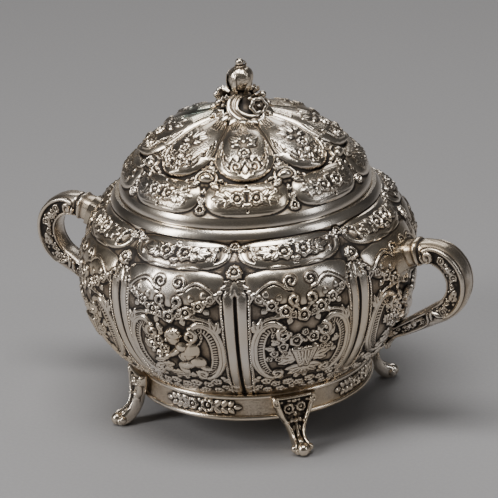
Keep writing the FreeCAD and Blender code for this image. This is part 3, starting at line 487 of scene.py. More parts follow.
def draw_basket(relief):
    """Flower basket: a fluted cup on a shell foot, with a heaped bunch."""
    y = run_at
    for turn in (-168, -140, -114, -90, -66, -40, -12):
        relief.leaf(0.4, y(34.2), turn, 6.4 if abs(turn + 90) > 30 else 4.6, 1.35, 0.8)
    for side in (-1, 1):
        for turn, length in ((6, 7.6), (32, 6.6), (-20, 6.4), (56, 5.0)):
            relief.leaf(side * 2.2, y(37.6), mirrored(turn, side), length, 1.6, 0.8, teeth=3)
    for fx, fz, turn in ((-4.4, 45.4, 120), (-8.0, 43.6, 150), (4.6, 46.2, 60), (8.4, 44.0, 40),
                         (9.6, 41.6, 10), (-9.6, 41.6, 170)):
        relief.leaf(fx, y(fz), turn, 3.2, 1.1, 0.6, teeth=2)
    for cup_side in ([(-2.9, 41.0), (-1.7, 37.4), (-0.6, 34.4)], [(3.3, 41.0), (2.1, 37.4), (1.2, 34.4)]):
        relief.stroke(smooth_curve(on_panel(1, cup_side)), 1.5, 1.0, taper=(1, 0.6))
    for flute in (-2.4, -1.2, 0, 1.2, 2.4):
        relief.stroke([(flute + 0.2, y(41.2)), (flute * 0.35 + 0.3, y(34.6))], 0.62, 1.35, taper=(1, 0.6))
    relief.stroke([(-3.8, y(41.4)), (0.2, y(41.0)), (4.2, y(41.4))], 0.6, 1.35)
    draw_bunch(relief, ((-2.7, 44.4, 2.35), (2.9, 45.0, 2.15), (6.9, 43.2, 1.9), (-6.9, 42.4, 1.8),
                        (0.2, 47.0, 1.2), (8.8, 39.8, 1.5), (-9.6, 40.0, 1.4), (9.4, 45.4, 0.9),
                        (-11.0, 37.8, 1.15), (-8.0, 37.8, 1.2), (-9.8, 43.6, 1.0), (6.2, 40.6, 1.15),
                        (11.2, 42.6, 1.1), (-5.4, 46.4, 1.0), (0.2, 44.0, 0.95), (-6.0, 39.8, 1.15),
                        (10.6, 38.0, 1.1)), 0.95, 0.65, 0.82, (31, 36))


def draw_child(relief):
    """Leaves of the mound, then a kneeling cherub of no one in particular with a bunch of roses."""
    y = run_at
    for fx, fz, turn, length in ((-4.0, 36.6, 200, 5.0), (-1.0, 35.0, 190, 5.4), (5.6, 32.6, -20, 4.4),
                                 (1.6, 31.8, 185, 6.0), (-2.4, 33.6, 215, 4.6), (6.0, 30.8, 170, 5.2),
                                 (-5.0, 34.0, 200, 4.4), (-8.6, 40.0, 120, 4.0), (-3.0, 47.4, 120, 3.4),
                                 (-8.0, 45.6, 150, 3.4), (-0.4, 30.6, 10, 5.0), (-6.0, 31.6, 20, 4.0)):
        relief.leaf(fx, y(fz), turn, length, 1.25, 0.7, teeth=3)
    for bx, bz, wide, tall, high, turn in (
            (5.3, 40.4, 3.3, 4.9, 1.6, -38),       # back
            (7.4, 37.0, 3.0, 2.8, 1.7, 0),         # hip
            (4.2, 35.8, 4.2, 2.0, 1.7, 24),        # thigh
            (2.2, 33.4, 1.6, 2.8, 1.2, 20),        # shin
            (9.4, 34.6, 2.6, 1.25, 1.2, -36),      # foot
            (3.4, 42.6, 2.4, 2.1, 1.7, 0),         # shoulder
            (0.5, 40.2, 3.6, 1.2, 1.5, 38),        # upper arm
            (-2.3, 38.6, 1.5, 1.0, 1.4, 10),       # hand
            (0.6, 45.8, 2.7, 2.9, 1.7, 18),        # head
            (1.3, 47.0, 2.9, 2.2, 1.9, 14),        # hair
            (-1.3, 45.0, 0.8, 0.9, 1.6, 0)):       # cheek
        near = relief.near(bx, y(bz), max(wide, tall) * 1.1)
        before = relief.height[near].copy()
        relief.boss(bx, y(bz), wide, tall, high, turn, power=0.72)
        # a soft crease where one form meets the next
        relief.height[near] -= 0.16 * np.exp(-((relief.height[near] - before) / 0.07) ** 2) * (before > 0.75)
    for step in range(8):
        angle = math.radians(10 + 24 * step)
        relief.boss(1.2 + 2.3 * math.cos(angle), y(46.6) + 2.1 * math.sin(angle), 0.85, 0.7, 1.75, 40 * step)
    for fx, fz in ((-0.9, 46.5), (0.5, 46.2)):
        relief.stroke([(fx - 0.35, y(fz)), (fx + 0.35, y(fz) + 0.1)], 0.22, 0.3, sink=True)
    relief.stroke([(-0.9, y(44.2)), (0.0, y(44.0))], 0.2, 0.25, sink=True)
    draw_bunch(relief, ((-4.5, 44.2, 1.95), (-2.7, 41.4, 1.95), (-6.8, 41.8, 1.7), (-7.4, 44.8, 1.15),
                        (-5.2, 38.8, 1.4), (-9.0, 42.6, 1.0), (-3.4, 47.0, 1.1), (-7.6, 39.4, 1.0),
                        (-5.8, 46.8, 0.9), (-3.4, 37.4, 1.0)), 1.25, 0.9, 0.8, (31, 36))


def draw_shoulder(relief):
    """Pad over the panel, small rosettes at the neck and a large button over each pilaster."""
    draw_pad(relief, SHOULDER_RUN - 2.9, 17.3, 5.35, 1.5, rose_gap=3.2, rose_size=2.7)
    for side in (-1, 1):
        edge = relief.edge_at(SHOULDER_RUN + 0.2) * side
        relief.rose(edge, SHOULDER_RUN + 0.2, 1.75, 0.9, petals=8)
        for dx, dy in ((1.9, -1.4), (2.6, 0.2), (0.9, -2.2)):
            relief.boss(edge - side * dx, SHOULDER_RUN + 0.2 + dy, 0.55, 0.5, 0.5)
        edge = relief.edge_at(run_at(67.0)) * side
        button = ((relief.x - edge) / 2.7) ** 2 + ((relief.y - run_at(67.0)) / 2.7) ** 2
        relief.swell += 1.0 * np.exp(-button ** 2)
        relief.rose(edge, run_at(67.0), 2.5, 1.0, petals=8)
    neck = np.clip((relief.y - (SHOULDER_RUN + 1.2)) / 0.4, 0, 1)
    relief.bare = np.maximum(relief.bare, neck)


PANEL_COLUMNS, PANEL_ROWS = 176, 262
FIRST_LOBE = math.radians(-45)                 # lobes stand over the feet and the handles
half_lobe = math.pi / LOBES
angles = np.linspace(-half_lobe, half_lobe, PANEL_COLUMNS + 1)
runs = np.linspace(0, VESSEL_RUN, PANEL_ROWS + 1)
angle_grid, run_grid = np.meshgrid(angles, runs)
plain_lobe = vessel_surface(angle_grid, run_grid)
reach_grid = np.hypot(plain_lobe[..., 0], plain_lobe[..., 1])


def chase_panel(draw_middle):
    """Height and darkness of one lobe of the vessel."""
    relief = Relief(angle_grid * reach_grid, run_grid)
    relief.edge_gap = (half_lobe - np.abs(angle_grid)) * reach_grid
    relief.edge_at = lambda run: half_lobe * float(np.interp(run, runs, reach_grid[:, -1]))
    draw_frame(relief)
    draw_middle(relief)
    draw_shoulder(relief)
    relief.uneven(3, 3.5, 0.016)
    fade = np.clip(np.minimum(run_grid, VESSEL_RUN - run_grid) / 0.8, 0, 1)
    height = (relief.swell + soften(relief.height, 0.65)) * fade
    return height, relief.tarnish_and_shade(0.25, 0.30), relief.ground()


def set_finish(mesh, dark, ground):
    """Writes on every point of a mesh how dark it is painted, from tarnish and, on the cast pieces, painted
    shade too, and how far it is punched.
    """
    for name, values in (("tarnish_and_shade", dark), ("ground", ground)):
        layer = mesh.attributes.new(name, "FLOAT", "POINT")
        layer.data.foreach_set("value", np.asarray(values, np.float32).ravel())


def add_piece(name, mesh, body, replaced):
    piece = bpy.data.objects.new(name, mesh)
    bpy.context.scene.collection.objects.link(piece)
    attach(piece, body)
    if replaced:
        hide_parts(*replaced)


def grid_faces(rows, columns, first=0, wrap=False):
    """Quads of a grid of rows by columns of points, numbered from first."""
    index = np.arange(rows * columns).reshape(rows, columns) + first
    if wrap:
        index = np.hstack([index, index[:, :1]])
    return np.stack([index[:-1, :-1], index[:-1, 1:], index[1:, 1:], index[1:, :-1]], -1).reshape(-1, 4)


SHARP_EDGE = math.radians(76)


def new_mesh(name, points, faces, material, flat=()):
    mesh = bpy.data.meshes.new(name)
    mesh.from_pydata(np.asarray(points, float).reshape(-1, 3) * MM, [],
                     [list(map(int, face)) for face in faces])
    smooth = np.ones(len(mesh.polygons), bool)
    smooth[list(flat)] = False
    mesh.polygons.foreach_set("use_smooth", smooth)
    mesh.materials.append(material)
    mesh.update()
    mesh.set_sharp_from_angle(angle=SHARP_EDGE)
    return mesh


def fill_sockets(links, sockets, values):
    """Gives each socket its value: a number or a colour, or another node's output."""
    for socket, value in zip(sockets, values):
        if isinstance(value, bpy.types.NodeSocket):
            links.new(value, socket)
        else:
            socket.default_value = value


def add_math(nodes, links, operation, *values, clamp=False):
    node = nodes.new("ShaderNodeMath")
    node.operation, node.use_clamp = operation, clamp
    fill_sockets(links, node.inputs, values)
    return node.outputs[0]


def add_mix(nodes, links, blend, share, first, second):
    node = nodes.new("ShaderNodeMix")
    node.data_type, node.blend_type = "RGBA", blend
    fill_sockets(links, (node.inputs[0], node.inputs[6], node.inputs[7]), (share, first, second))
    return node.outputs[2]


def add_bump(nodes, links, height, strength, distance):
    node = nodes.new("ShaderNodeBump")
    node.inputs["Strength"].default_value = strength
    node.inputs["Distance"].default_value = distance
    links.new(height, node.inputs["Height"])
    return node


STAINS, CLOUDS, SPECKS, PUNCHES = 38.0, 140.0, 1500.0, 1700.0    # how many to a metre


def silver(name, bright=(0.87, 0.80, 0.715), dark=(0.024, 0.020, 0.018), stipple=0.35, wear=0.25,
           green=None):
    """Old silver: bright where hands and cloth reach, brown-black where polish never does. The mesh carries
    the darkness, which is tarnish and on the cast pieces painted shade in their recesses as well, in one
    attribute, and the punched ground as ground; green is the middle of a bloom of verdigris."""
    material, nodes, links, shader = new_material(name)
    coords = nodes.new("ShaderNodeTexCoord")
    # Darkness from the mesh: tarnish, and on the cast pieces painted shade in recesses as well.
    tarnish_and_shade = nodes.new("ShaderNodeAttribute")
    tarnish_and_shade.attribute_name = "tarnish_and_shade"
    ground = nodes.new("ShaderNodeAttribute")
    ground.attribute_name = "ground"
    cloud = add_noise(nodes, links, coords, CLOUDS, 4.0).outputs["Fac"]
    speck = add_noise(nodes, links, coords, SPECKS, 2.0).outputs["Fac"]
    clouded = add_math(nodes, links, "MULTIPLY_ADD", cloud, wear, tarnish_and_shade.outputs["Fac"])
    speckled = add_math(nodes, links, "MULTIPLY_ADD", speck, wear * 0.8, clouded)
    depth = add_math(nodes, links, "SUBTRACT", speckled, wear * 0.9, clamp=True)
    warm = tuple(b * k for b, k in zip(bright, (0.52, 0.485, 0.45)))
    brown = tuple(b * k for b, k in zip(bright, (0.17, 0.152, 0.138)))
    colour = add_ramp(nodes, links, depth,
                      [(0.0, bright), (0.10, bright), (0.36, warm), (0.60, brown), (0.86, dark)])
    stain = add_noise(nodes, links, coords, STAINS)
    yellow = add_ramp(nodes, links, stain.outputs["Fac"], [(0.36, (1, 1, 1)), (0.66, (0.97, 0.885, 0.74))])
    skin = add_mix(nodes, links, "MULTIPLY", 1.0, colour.outputs["Color"], yellow.outputs["Color"])
    if green is not None:
        away = nodes.new("ShaderNodeVectorMath")
        away.operation = "DISTANCE"
        fill_sockets(links, away.inputs, (coords.outputs["Object"], green))
        spread = add_math(nodes, links, "MULTIPLY_ADD", cloud, 0.012, away.outputs["Value"])
        bloom = add_ramp(nodes, links, spread, [(0.0085, (0.75,) * 3), (0.0135, (0, 0, 0))])
        skin = add_mix(nodes, links, "MIX", bloom.outputs["Color"], skin, (0.16, 0.33, 0.30, 1))
    shine = add_ramp(nodes, links, depth, [(0.0, 0.22), (0.4, 0.34), (0.9, 0.60)])
    metal = add_ramp(nodes, links, depth, [(0.0, 1.0), (0.5, 0.95), (0.95, 0.55)])
    dots = nodes.new("ShaderNodeTexVoronoi")
    dots.inputs["Scale"].default_value = PUNCHES
    links.new(coords.outputs["Object"], dots.inputs["Vector"])
    punched = add_math(nodes, links, "MULTIPLY", dots.outputs["Distance"], ground.outputs["Fac"])
    punch_marks = add_bump(nodes, links, punched, stipple, 0.0003)
    scratches = add_bump(nodes, links, speck, 0.10, 0.0002)
    links.new(punch_marks.outputs["Normal"], scratches.inputs["Normal"])
    for socket, source in (("Base Color", skin), ("Roughness", shine.outputs["Color"]),
                           ("Metallic", metal.outputs["Color"]), ("Normal", scratches.outputs["Normal"])):
        links.new(source, shader.inputs[socket])
    return material


WALL, INSIDE_ROWS, INSIDE_COLUMNS, INSIDE_DARK = 0.9, 36, 24, 0.12


def plain_inside(r, z, turns):
    """Plain inside of a quarter: its outline (r, z), carried round past the middles of two lobes."""
    across = np.linspace(turns[0] - half_lobe, turns[1] + half_lobe, INSIDE_COLUMNS + 1)
    return np.stack([np.outer(r, np.cos(across)), np.outer(r, np.sin(across)),
                     np.repeat(z[:, None], INSIDE_COLUMNS + 1, 1)], -1)


def add_shell(name, skins, turns, inside, material, body, replaced):
    """Closed piece of sheet: two chased lobes side by side, a plain inside and flat cut edges."""
    rows, columns = skins[0][0].shape[:2]
    placed = [turned_about_z(skin[0], turn) for skin, turn in zip(skins, turns)]
    joined = np.concatenate([placed[0], placed[1][:, 1:]], 1)
    joined[:, columns - 1] = (placed[0][:, -1] + placed[1][:, 0]) / 2
    columns = joined.shape[1]
    faces = list(grid_faces(rows, columns))
    first = rows * columns
    points = np.vstack([joined.reshape(-1, 3), inside.reshape(-1, 3)])
    faces += [face[::-1] for face in grid_faces(*inside.shape[:2], first)]
    outer = np.arange(first).reshape(rows, columns)
    inner = first + np.arange(len(points) - first).reshape(inside.shape[:2])
    flat = range(len(faces), len(faces) + 4)
    faces += [list(outer[-1]) + list(inner[-1][::-1]), list(outer[0][::-1]) + list(inner[0]),
              list(outer[:, 0]) + list(inner[::-1, 0]), list(outer[::-1, -1]) + list(inner[:, -1])]
    mesh = new_mesh(name, points, faces, material, flat)
    finish = []
    for place, plain in ((1, INSIDE_DARK), (2, 0.0)):
        values = np.concatenate([skins[0][place], skins[1][place][:, 1:]], 1).ravel()
        finish.append(np.concatenate([values, np.full(len(points) - first, plain)]))
    set_finish(mesh, *finish)
    add_piece(name, mesh, body, replaced)


def add_ring(name, skin, inner, material, body, replaced, dark, punched):
    """Closed ring: a chased outer face all round, then the (r, z) corners of its section."""
    rows, columns = skin.shape[:2]
    turns = np.arctan2(skin[0, :, 1], skin[0, :, 0])
    plain = [np.stack([r * np.cos(turns), r * np.sin(turns), np.full(columns, z)], -1) for r, z in inner]
    points = np.vstack([skin.reshape(-1, 3)] + plain)
    faces = list(grid_faces(rows + len(inner), columns, wrap=True))
    faces += list(grid_faces(2, columns, wrap=True) + np.array([[len(points) - columns] * 2 + [0] * 2])
                  - np.array([[0, 0, columns, columns]]))
    flat = range((rows - 1) * columns, len(faces))
    mesh = new_mesh(name, points, faces, material, flat)
    plain = np.full(len(inner) * columns, INSIDE_DARK)
    set_finish(mesh, *(np.concatenate([values.ravel(), plain]) for values in (dark, punched)))
    add_piece(name, mesh, body, replaced)


chased_silver = silver("chased_silver")
panels = {"basket": chase_panel(draw_basket), "child": chase_panel(draw_child)}
valley_shift = (LOBE_SHIFT * math.cos(half_lobe), LOBE_SHIFT * math.sin(half_lobe))
vessel_skins = [(displaced(plain_lobe, panels[kind][0]), *panels[kind][1:]) for kind in ("basket", "child")]
inside_r, inside_z = vessel_outline(np.linspace(0, VESSEL_RUN, INSIDE_ROWS + 1))
inside_r = valley_shift[0] + np.sqrt((inside_r - LOBE_SHIFT) ** 2 - valley_shift[1] ** 2) - WALL
for quarter in range(LOBES // 2):
    turns = [FIRST_LOBE + (2 * quarter + step) * 2 * half_lobe for step in (0, 1)]
    add_shell(f"vessel_quarter_{quarter + 1}", vessel_skins, turns, plain_inside(inside_r, inside_z, turns),
              chased_silver, "bowl", ["bowl_body"])


# ---- Beaded borders -----------------------------------------------------------------------------
# A row of small round beads, struck one by one with a beading punch, runs up both sides of every
# panel beside its pilaster strips.
BEAD_R, BEAD_PITCH, BEAD_OFF = 0.36, 0.95, 1.1
BEADS_LOW_Z, BEADS_HIGH_Z = 21.5, 59.0


def bead_rows(lines, material):
    """Plain mesh of beads set at even steps along lines of points."""
    points, edges = [], []
    for line in lines:
        edges += [(len(points) + step, len(points) + step + 1) for step in range(len(line) - 1)]
        points += [tuple(point) for point in line * MM]
    guide = bpy.data.meshes.new("bead_guide")
    guide.from_pydata(points, edges, [])
    carrier = bpy.data.objects.new("bead_guide", guide)
    bpy.context.scene.collection.objects.link(carrier)
    tree = bpy.data.node_groups.new("bead_row", "GeometryNodeTree")
    tree.interface.new_socket("Lines", in_out="INPUT", socket_type="NodeSocketGeometry")
    pitch = tree.interface.new_socket("Pitch", in_out="INPUT", socket_type="NodeSocketFloat")
    radius = tree.interface.new_socket("Bead radius", in_out="INPUT", socket_type="NodeSocketFloat")
    tree.interface.new_socket("Beads", in_out="OUTPUT", socket_type="NodeSocketGeometry")
    start, end = tree.nodes.new("NodeGroupInput"), tree.nodes.new("NodeGroupOutput")
    curve = tree.nodes.new("GeometryNodeMeshToCurve")
    steps = tree.nodes.new("GeometryNodeResampleCurve")
    steps.mode = "LENGTH"
    bead = tree.nodes.new("GeometryNodeMeshUVSphere")
    bead.inputs["Segments"].default_value, bead.inputs["Rings"].default_value = 7, 5
    smooth = tree.nodes.new("GeometryNodeSetShadeSmooth")
    place = tree.nodes.new("GeometryNodeInstanceOnPoints")
    real = tree.nodes.new("GeometryNodeRealizeInstances")
    dress = tree.nodes.new("GeometryNodeSetMaterial")
    dress.inputs["Material"].default_value = material
    for source, target in ((start.outputs["Lines"], curve.inputs["Mesh"]),
                           (curve.outputs["Curve"], steps.inputs["Curve"]),
                           (start.outputs["Pitch"], steps.inputs["Length"]),
                           (start.outputs["Bead radius"], bead.inputs["Radius"]),
                           (bead.outputs["Mesh"], smooth.inputs["Geometry"]),
                           (steps.outputs["Curve"], place.inputs["Points"]),
                           (smooth.outputs["Geometry"], place.inputs["Instance"]),
                           (place.outputs["Instances"], real.inputs["Geometry"]),
                           (real.outputs["Geometry"], dress.inputs["Geometry"]),
                           (dress.outputs["Geometry"], end.inputs["Beads"])):
        tree.links.new(source, target)
    rows = carrier.modifiers.new("bead_row", "NODES")
    rows.node_group = tree
    rows[pitch.identifier], rows[radius.identifier] = BEAD_PITCH * MM, BEAD_R * MM
    mesh = bpy.data.meshes.new_from_object(carrier.evaluated_get(bpy.context.evaluated_depsgraph_get()))
    bpy.data.objects.remove(carrier)
    return mesh


bead_lines = []
bead_levels = range(int(np.searchsorted(runs, run_at(BEADS_LOW_Z))),
                    int(np.searchsorted(runs, run_at(BEADS_HIGH_Z))), 3)
for lobe in range(LOBES):
    skin, turn = vessel_skins[lobe % 2][0], FIRST_LOBE + lobe * 2 * half_lobe
    for side in (-1, 1):
        line = []
        for level in bead_levels:
            away = half_lobe - (strip_width(runs[level]) + BEAD_OFF) / reach_grid[level, -1]
            line.append(skin[level, int(np.argmin(np.abs(angles - side * away)))])
        bead_lines.append(turned_about_z(np.array(line), turn))
beads = bead_rows(bead_lines, chased_silver)
beads.name = "border_beads"
set_finish(beads, np.full(len(beads.vertices), 0.05), np.zeros(len(beads.vertices)))
add_piece("border_beads", beads, "bowl", ())


# ---- Chased lid ---------------------------------------------------------------------------------
# A dome raised from one sheet, turned a little against the vessel. Eight pads stand round its rim,
# and eight lobes climb from them to the finial, each with a smooth border round a trellis of flowers.
DOME_R, DOME_Z, CROWN_Z, RIM_TOP_R = 48.91, 81.7, 104.1, 41.1
RIM_LEAN = math.asin(RIM_TOP_R / DOME_R)
LID_TURN = math.radians(-16.5)
LID_RUN, LID_COLUMNS, LID_ROWS, LID_SUNK = 43.0, 128, 170, 0.3


def lid_surface(angle, run):
    """Point of the plain dome, which sinks a little inside its rim; run climbs from the rim."""
    lean = RIM_LEAN - run / DOME_R
    dome = DOME_R - LID_SUNK * np.clip(run / 1.5, 0, 1)
    r, z = dome * np.sin(lean), CROWN_Z - DOME_R + dome * np.cos(lean)
    return np.stack([r * np.cos(angle), r * np.sin(angle), z], -1)


def draw_lid_sector(relief):
    """One eighth of the lid: the pad at the rim, the lobe over it, and what fills the valleys."""
    x, s, edge = relief.x, relief.y, relief.edge_x
    relief.bare[:] = 0.75
    draw_pad(relief, 6.0, 13.9, 5.9, 1.7, rose_gap=3.0, rose_size=2.45, high=0.7)
    half = np.interp(s, [12.0, 12.3, 13, 14, 15.5, 17.5, 20, 22, 25, 28, 31, 35, 43],
                     [0, 2.6, 4.7, 6.5, 8.2, 9.5, 10.3, 10.5, 9.9, 8.8, 7.4, 5.6, 2.6])
    half = np.minimum(half, edge - 0.3)
    lobe = np.clip(1 - (np.abs(x) / np.maximum(half, 1e-3)) ** 2, 0, 1) * (s > 12.0)
    relief.swell += 2.7 * lobe ** 0.62 * np.interp(s, [12, 17, 30, 43], [0.9, 1, 0.85, 0.4])
    relief.bare = np.maximum(relief.bare, np.clip(lobe * 30, 0, 1))
    # chased field inside the smooth border: a trellis below, leaves above
    field_half = np.interp(s, [13.9, 14.2, 15, 16.5, 19, 22, 25, 27.5, 30, 31.5],
                           [0, 2.2, 4.4, 6.2, 7.4, 7.4, 6.4, 4.8, 2.6, 0])
    field_half = np.minimum(field_half, np.maximum(edge - 2.7, 0))
    depth = field_half - np.abs(x)
    inside = np.clip(depth / 0.3, 0, 1)
    relief.height -= 0.12 * inside + 0.42 * np.exp(-(depth / 0.24) ** 2) * (s > 13.7) * (s < 31.6)
    relief.bare = relief.bare * (1 - 0.5 * inside)
    for way in (-1, 1):
        lattice = np.abs(((x * 0.88 + way * s * 0.47) / 2.1) % 1 - 0.5)
        relief.height -= 0.34 * np.exp(-((0.5 - lattice) / 0.1) ** 2) * inside * (s < 26)
    for side in (-1, 1):
        for drop in (0.75, 1.5, 2.25, 3.0):
            line = [(side * max(w - drop, 0.15), at) for at, w in
                    ((21, 9.3), (24, 8.9), (27, 7.7), (30, 6.2), (33, 4.9), (36, 3.9), (40, 2.6))]
            relief.stroke(smooth_curve(line), 0.2, 0.4, taper=(0.4, 1, 1, 1, 0.5), sink=True)
        relief.stroke(spiral(side * 2.7, 16.5, 1.95, 270, 1.3, side, shrink=0.2), 0.5, 0.5, taper=(1, 0.8))
        relief.stroke(smooth_curve([(side * 2.7, 14.55), (side * 5.2, 15.6), (side * 6.5, 18.2),
                                    (side * 6.6, 21.4)]), 0.45, 0.5, taper=(1, 0.4))
        relief.leaf(side * 1.9, 26.6, 90 - side * 52, 3.4, 1.1, 0.5)
        relief.leaf(side * 0.8, 27.4, 90 - side * 22, 3.8, 0.9, 0.45)
        relief.boss(side * 2.5, 24.9, 1.6, 0.85, 0.75)
    relief.rose(0, 21.6, 2.0, 0.8, petals=8)
    relief.boss(0, 18.6, 0.7, 0.8, 0.45)
    relief.leaf(0, 26.0, 90, 4.6, 0.9, 0.5)
    # a bud over each valley between two crescents, then leaves, berries and a rosette at the rim
    for side in (-1, 1):
        near = relief.edge_at(13.2) * side
        between = np.exp(-(((relief.x - near) / 4.2) ** 2 + ((s - 12.9) / 3.0) ** 2) ** 2)
        relief.swell += 1.1 * between * (1 - np.clip(lobe * 6, 0, 1))
        relief.boss(near, 13.2, 2.5, 1.75, 1.5)
        for way in (-1, 1):
            crescent = smooth_curve([(near + way * out, at) for out, at in
                                     ((0.2, 16.0), (2.8, 15.3), (3.6, 13.2), (3.1, 11.6), (4.8, 11.2))])
            relief.stroke(crescent, 0.55, 0.8, taper=(0.4, 1, 0.9, 0.4))
            for turn, length in ((74, 3.6), (48, 3.4), (20, 3.2)):
                relief.leaf(near + way * 0.9, 15.6, mirrored(turn, way), length, 0.8, 0.6)
            relief.leaf(near + way * 1.4, 11.4, -90 + way * 55, 3.6, 0.95, 0.8)
            relief.boss(near + way * 4.9, 12.6, 0.9, 0.8, 0.85)
            relief.boss(near + way * 6.4, 11.9, 0.7, 0.6, 0.7)
        for at in (17.6, 19.4, 21.0):
            relief.boss(relief.edge_at(at) * side, at, 0.75, 0.95, 0.7)
        relief.rose(relief.edge_at(2.4) * side, 2.5, 1.85, 1.15, petals=8)
        for turn in (118, 62):
            relief.leaf(relief.edge_at(4.2) * side, 4.0, turn, 3.2, 0.8, 0.7)
        relief.boss(relief.edge_at(8.6) * side, 8.8, 1.0, 1.2, 0.8)
    relief.uneven(11, 4.0, 0.008)


lid_angles = np.linspace(-half_lobe, half_lobe, LID_COLUMNS + 1)
lid_runs = np.linspace(0, LID_RUN, LID_ROWS + 1)
lid_angle_grid, lid_run_grid = np.meshgrid(lid_angles, lid_runs)
plain_lid = lid_surface(lid_angle_grid, lid_run_grid)
lid_reach = np.hypot(plain_lid[..., 0], plain_lid[..., 1])
lid_relief = Relief(lid_angle_grid * lid_reach, lid_run_grid)
lid_relief.edge_x = half_lobe * lid_reach
lid_relief.edge_at = lambda run: half_lobe * DOME_R * math.sin(RIM_LEAN - run / DOME_R)
draw_lid_sector(lid_relief)
fade = np.clip(np.minimum(lid_run_grid, LID_RUN - lid_run_grid) / 0.6, 0, 1)
lid_sector = displaced(plain_lid, (lid_relief.swell + soften(lid_relief.height, 0.5)) * fade)
lid_dark, lid_ground = lid_relief.tarnish_and_shade(0.2, 0.06), lid_relief.ground()
lid_silver = silver("lid_silver", wear=0.19, green=(-0.0150, -0.0030, 0.1015))
inside_lean = RIM_LEAN - np.linspace(0, LID_RUN, INSIDE_ROWS + 1) / DOME_R
inside_r = (DOME_R - WALL) * np.sin(inside_lean)
inside_z = CROWN_Z - DOME_R + (DOME_R - WALL) * np.cos(inside_lean)
inside_z[0] = DOME_Z
for quarter in range(LOBES // 2):
    turns = [LID_TURN + (2 * quarter + step) * 2 * half_lobe for step in (0, 1)]
    add_shell(f"lid_quarter_{quarter + 1}", [(lid_sector, lid_dark, lid_ground)] * 2, turns,
              plain_inside(inside_r, inside_z, turns), lid_silver, "lid", ["lid_dome"])


# ---- Foot band ----------------------------------------------------------------------------------
# A drum of sheet silver under the vessel, punched all over, with a chased spray of two roses and six
# leaves between the feet. It is soldered between two half-round wires.
BAND_R, BAND_INSIDE_R, BAND_LOW, BAND_HIGH, BAND_EDGE, SPRAY_Z = 39.0, 37.8, 10.0, 19.25, 1.7, 14.7
BAND_COLUMNS, BAND_ROWS = 1280, 40


def draw_band(relief):
    for quarter in range(4):
        middle, z = BAND_R * (quarter * math.pi / 2), SPRAY_Z
        for side in (-1, 1):
            for step, (away, length) in enumerate(((4.9, 3.1), (7.4, 2.9), (9.7, 2.6))):
                for way in (-1, 1):
                    lean = (40 + 3 * step) * way
                    relief.leaf(middle + side * away, z + way * 0.3, mirrored(lean, side), length,
                                1.0 - 0.1 * step, 0.75)
            relief.leaf(middle + side * 11.4, z, mirrored(0, side), 2.8, 0.75, 0.6)
        relief.rose(middle - 3.1, z, 2.1, 0.95, petals=6)
        relief.rose(middle + 2.5, z + 0.2, 2.6, 1.05, petals=7)
        relief.boss(middle - 0.5, z + 1.6, 0.7, 0.7, 0.6)
        relief.boss(middle - 0.4, z - 1.7, 0.8, 0.7, 0.6)


band_turns = np.linspace(-math.pi / 4, 2 * math.pi - math.pi / 4, BAND_COLUMNS, endpoint=False)
band_turn_grid, band_z_grid = np.meshgrid(band_turns, np.linspace(BAND_LOW, BAND_HIGH, BAND_ROWS + 1))
band_relief = Relief(band_turn_grid * BAND_R, band_z_grid)
draw_band(band_relief)
from_edge = np.minimum(band_z_grid - BAND_LOW - BAND_EDGE, BAND_HIGH - band_z_grid - BAND_EDGE)
band_far = BAND_R + soften(band_relief.height, 0.5) * np.clip(from_edge / 0.4, 0, 1)
band_skin = np.stack([band_far * np.cos(band_turn_grid), band_far * np.sin(band_turn_grid), band_z_grid], -1)
add_ring("foot_drum", band_skin, [(BAND_INSIDE_R, BAND_HIGH), (BAND_INSIDE_R, BAND_LOW)],
         silver("band_silver", stipple=0.70), "bowl", ["foot_band"],
         band_relief.tarnish_and_shade(0.22), band_relief.ground())


# ---- Handles ------------------------------------------------------------------------------------
# Cast scroll handles, smooth outside where the fingers close and framed with flowers along both
# sides. They are soldered to the shoulder over a small collar and curl back toward the vessel.
HANDLE_LEAD, HANDLE_BEND, HANDLE_SIDE, HANDLE_TAIL, HANDLE_RUN = 20.0, 9.5, 12.2, 8.0, 19.0
HANDLE_TOP, HANDLE_FALL, TAIL_TURN = (67.0, 63.1), math.radians(60), math.radians(58)
HANDLE_AROUND, HANDLE_STEP, HANDLE_FLANK, HANDLE_CORNER = 112, 0.28, 4.6, 0.74


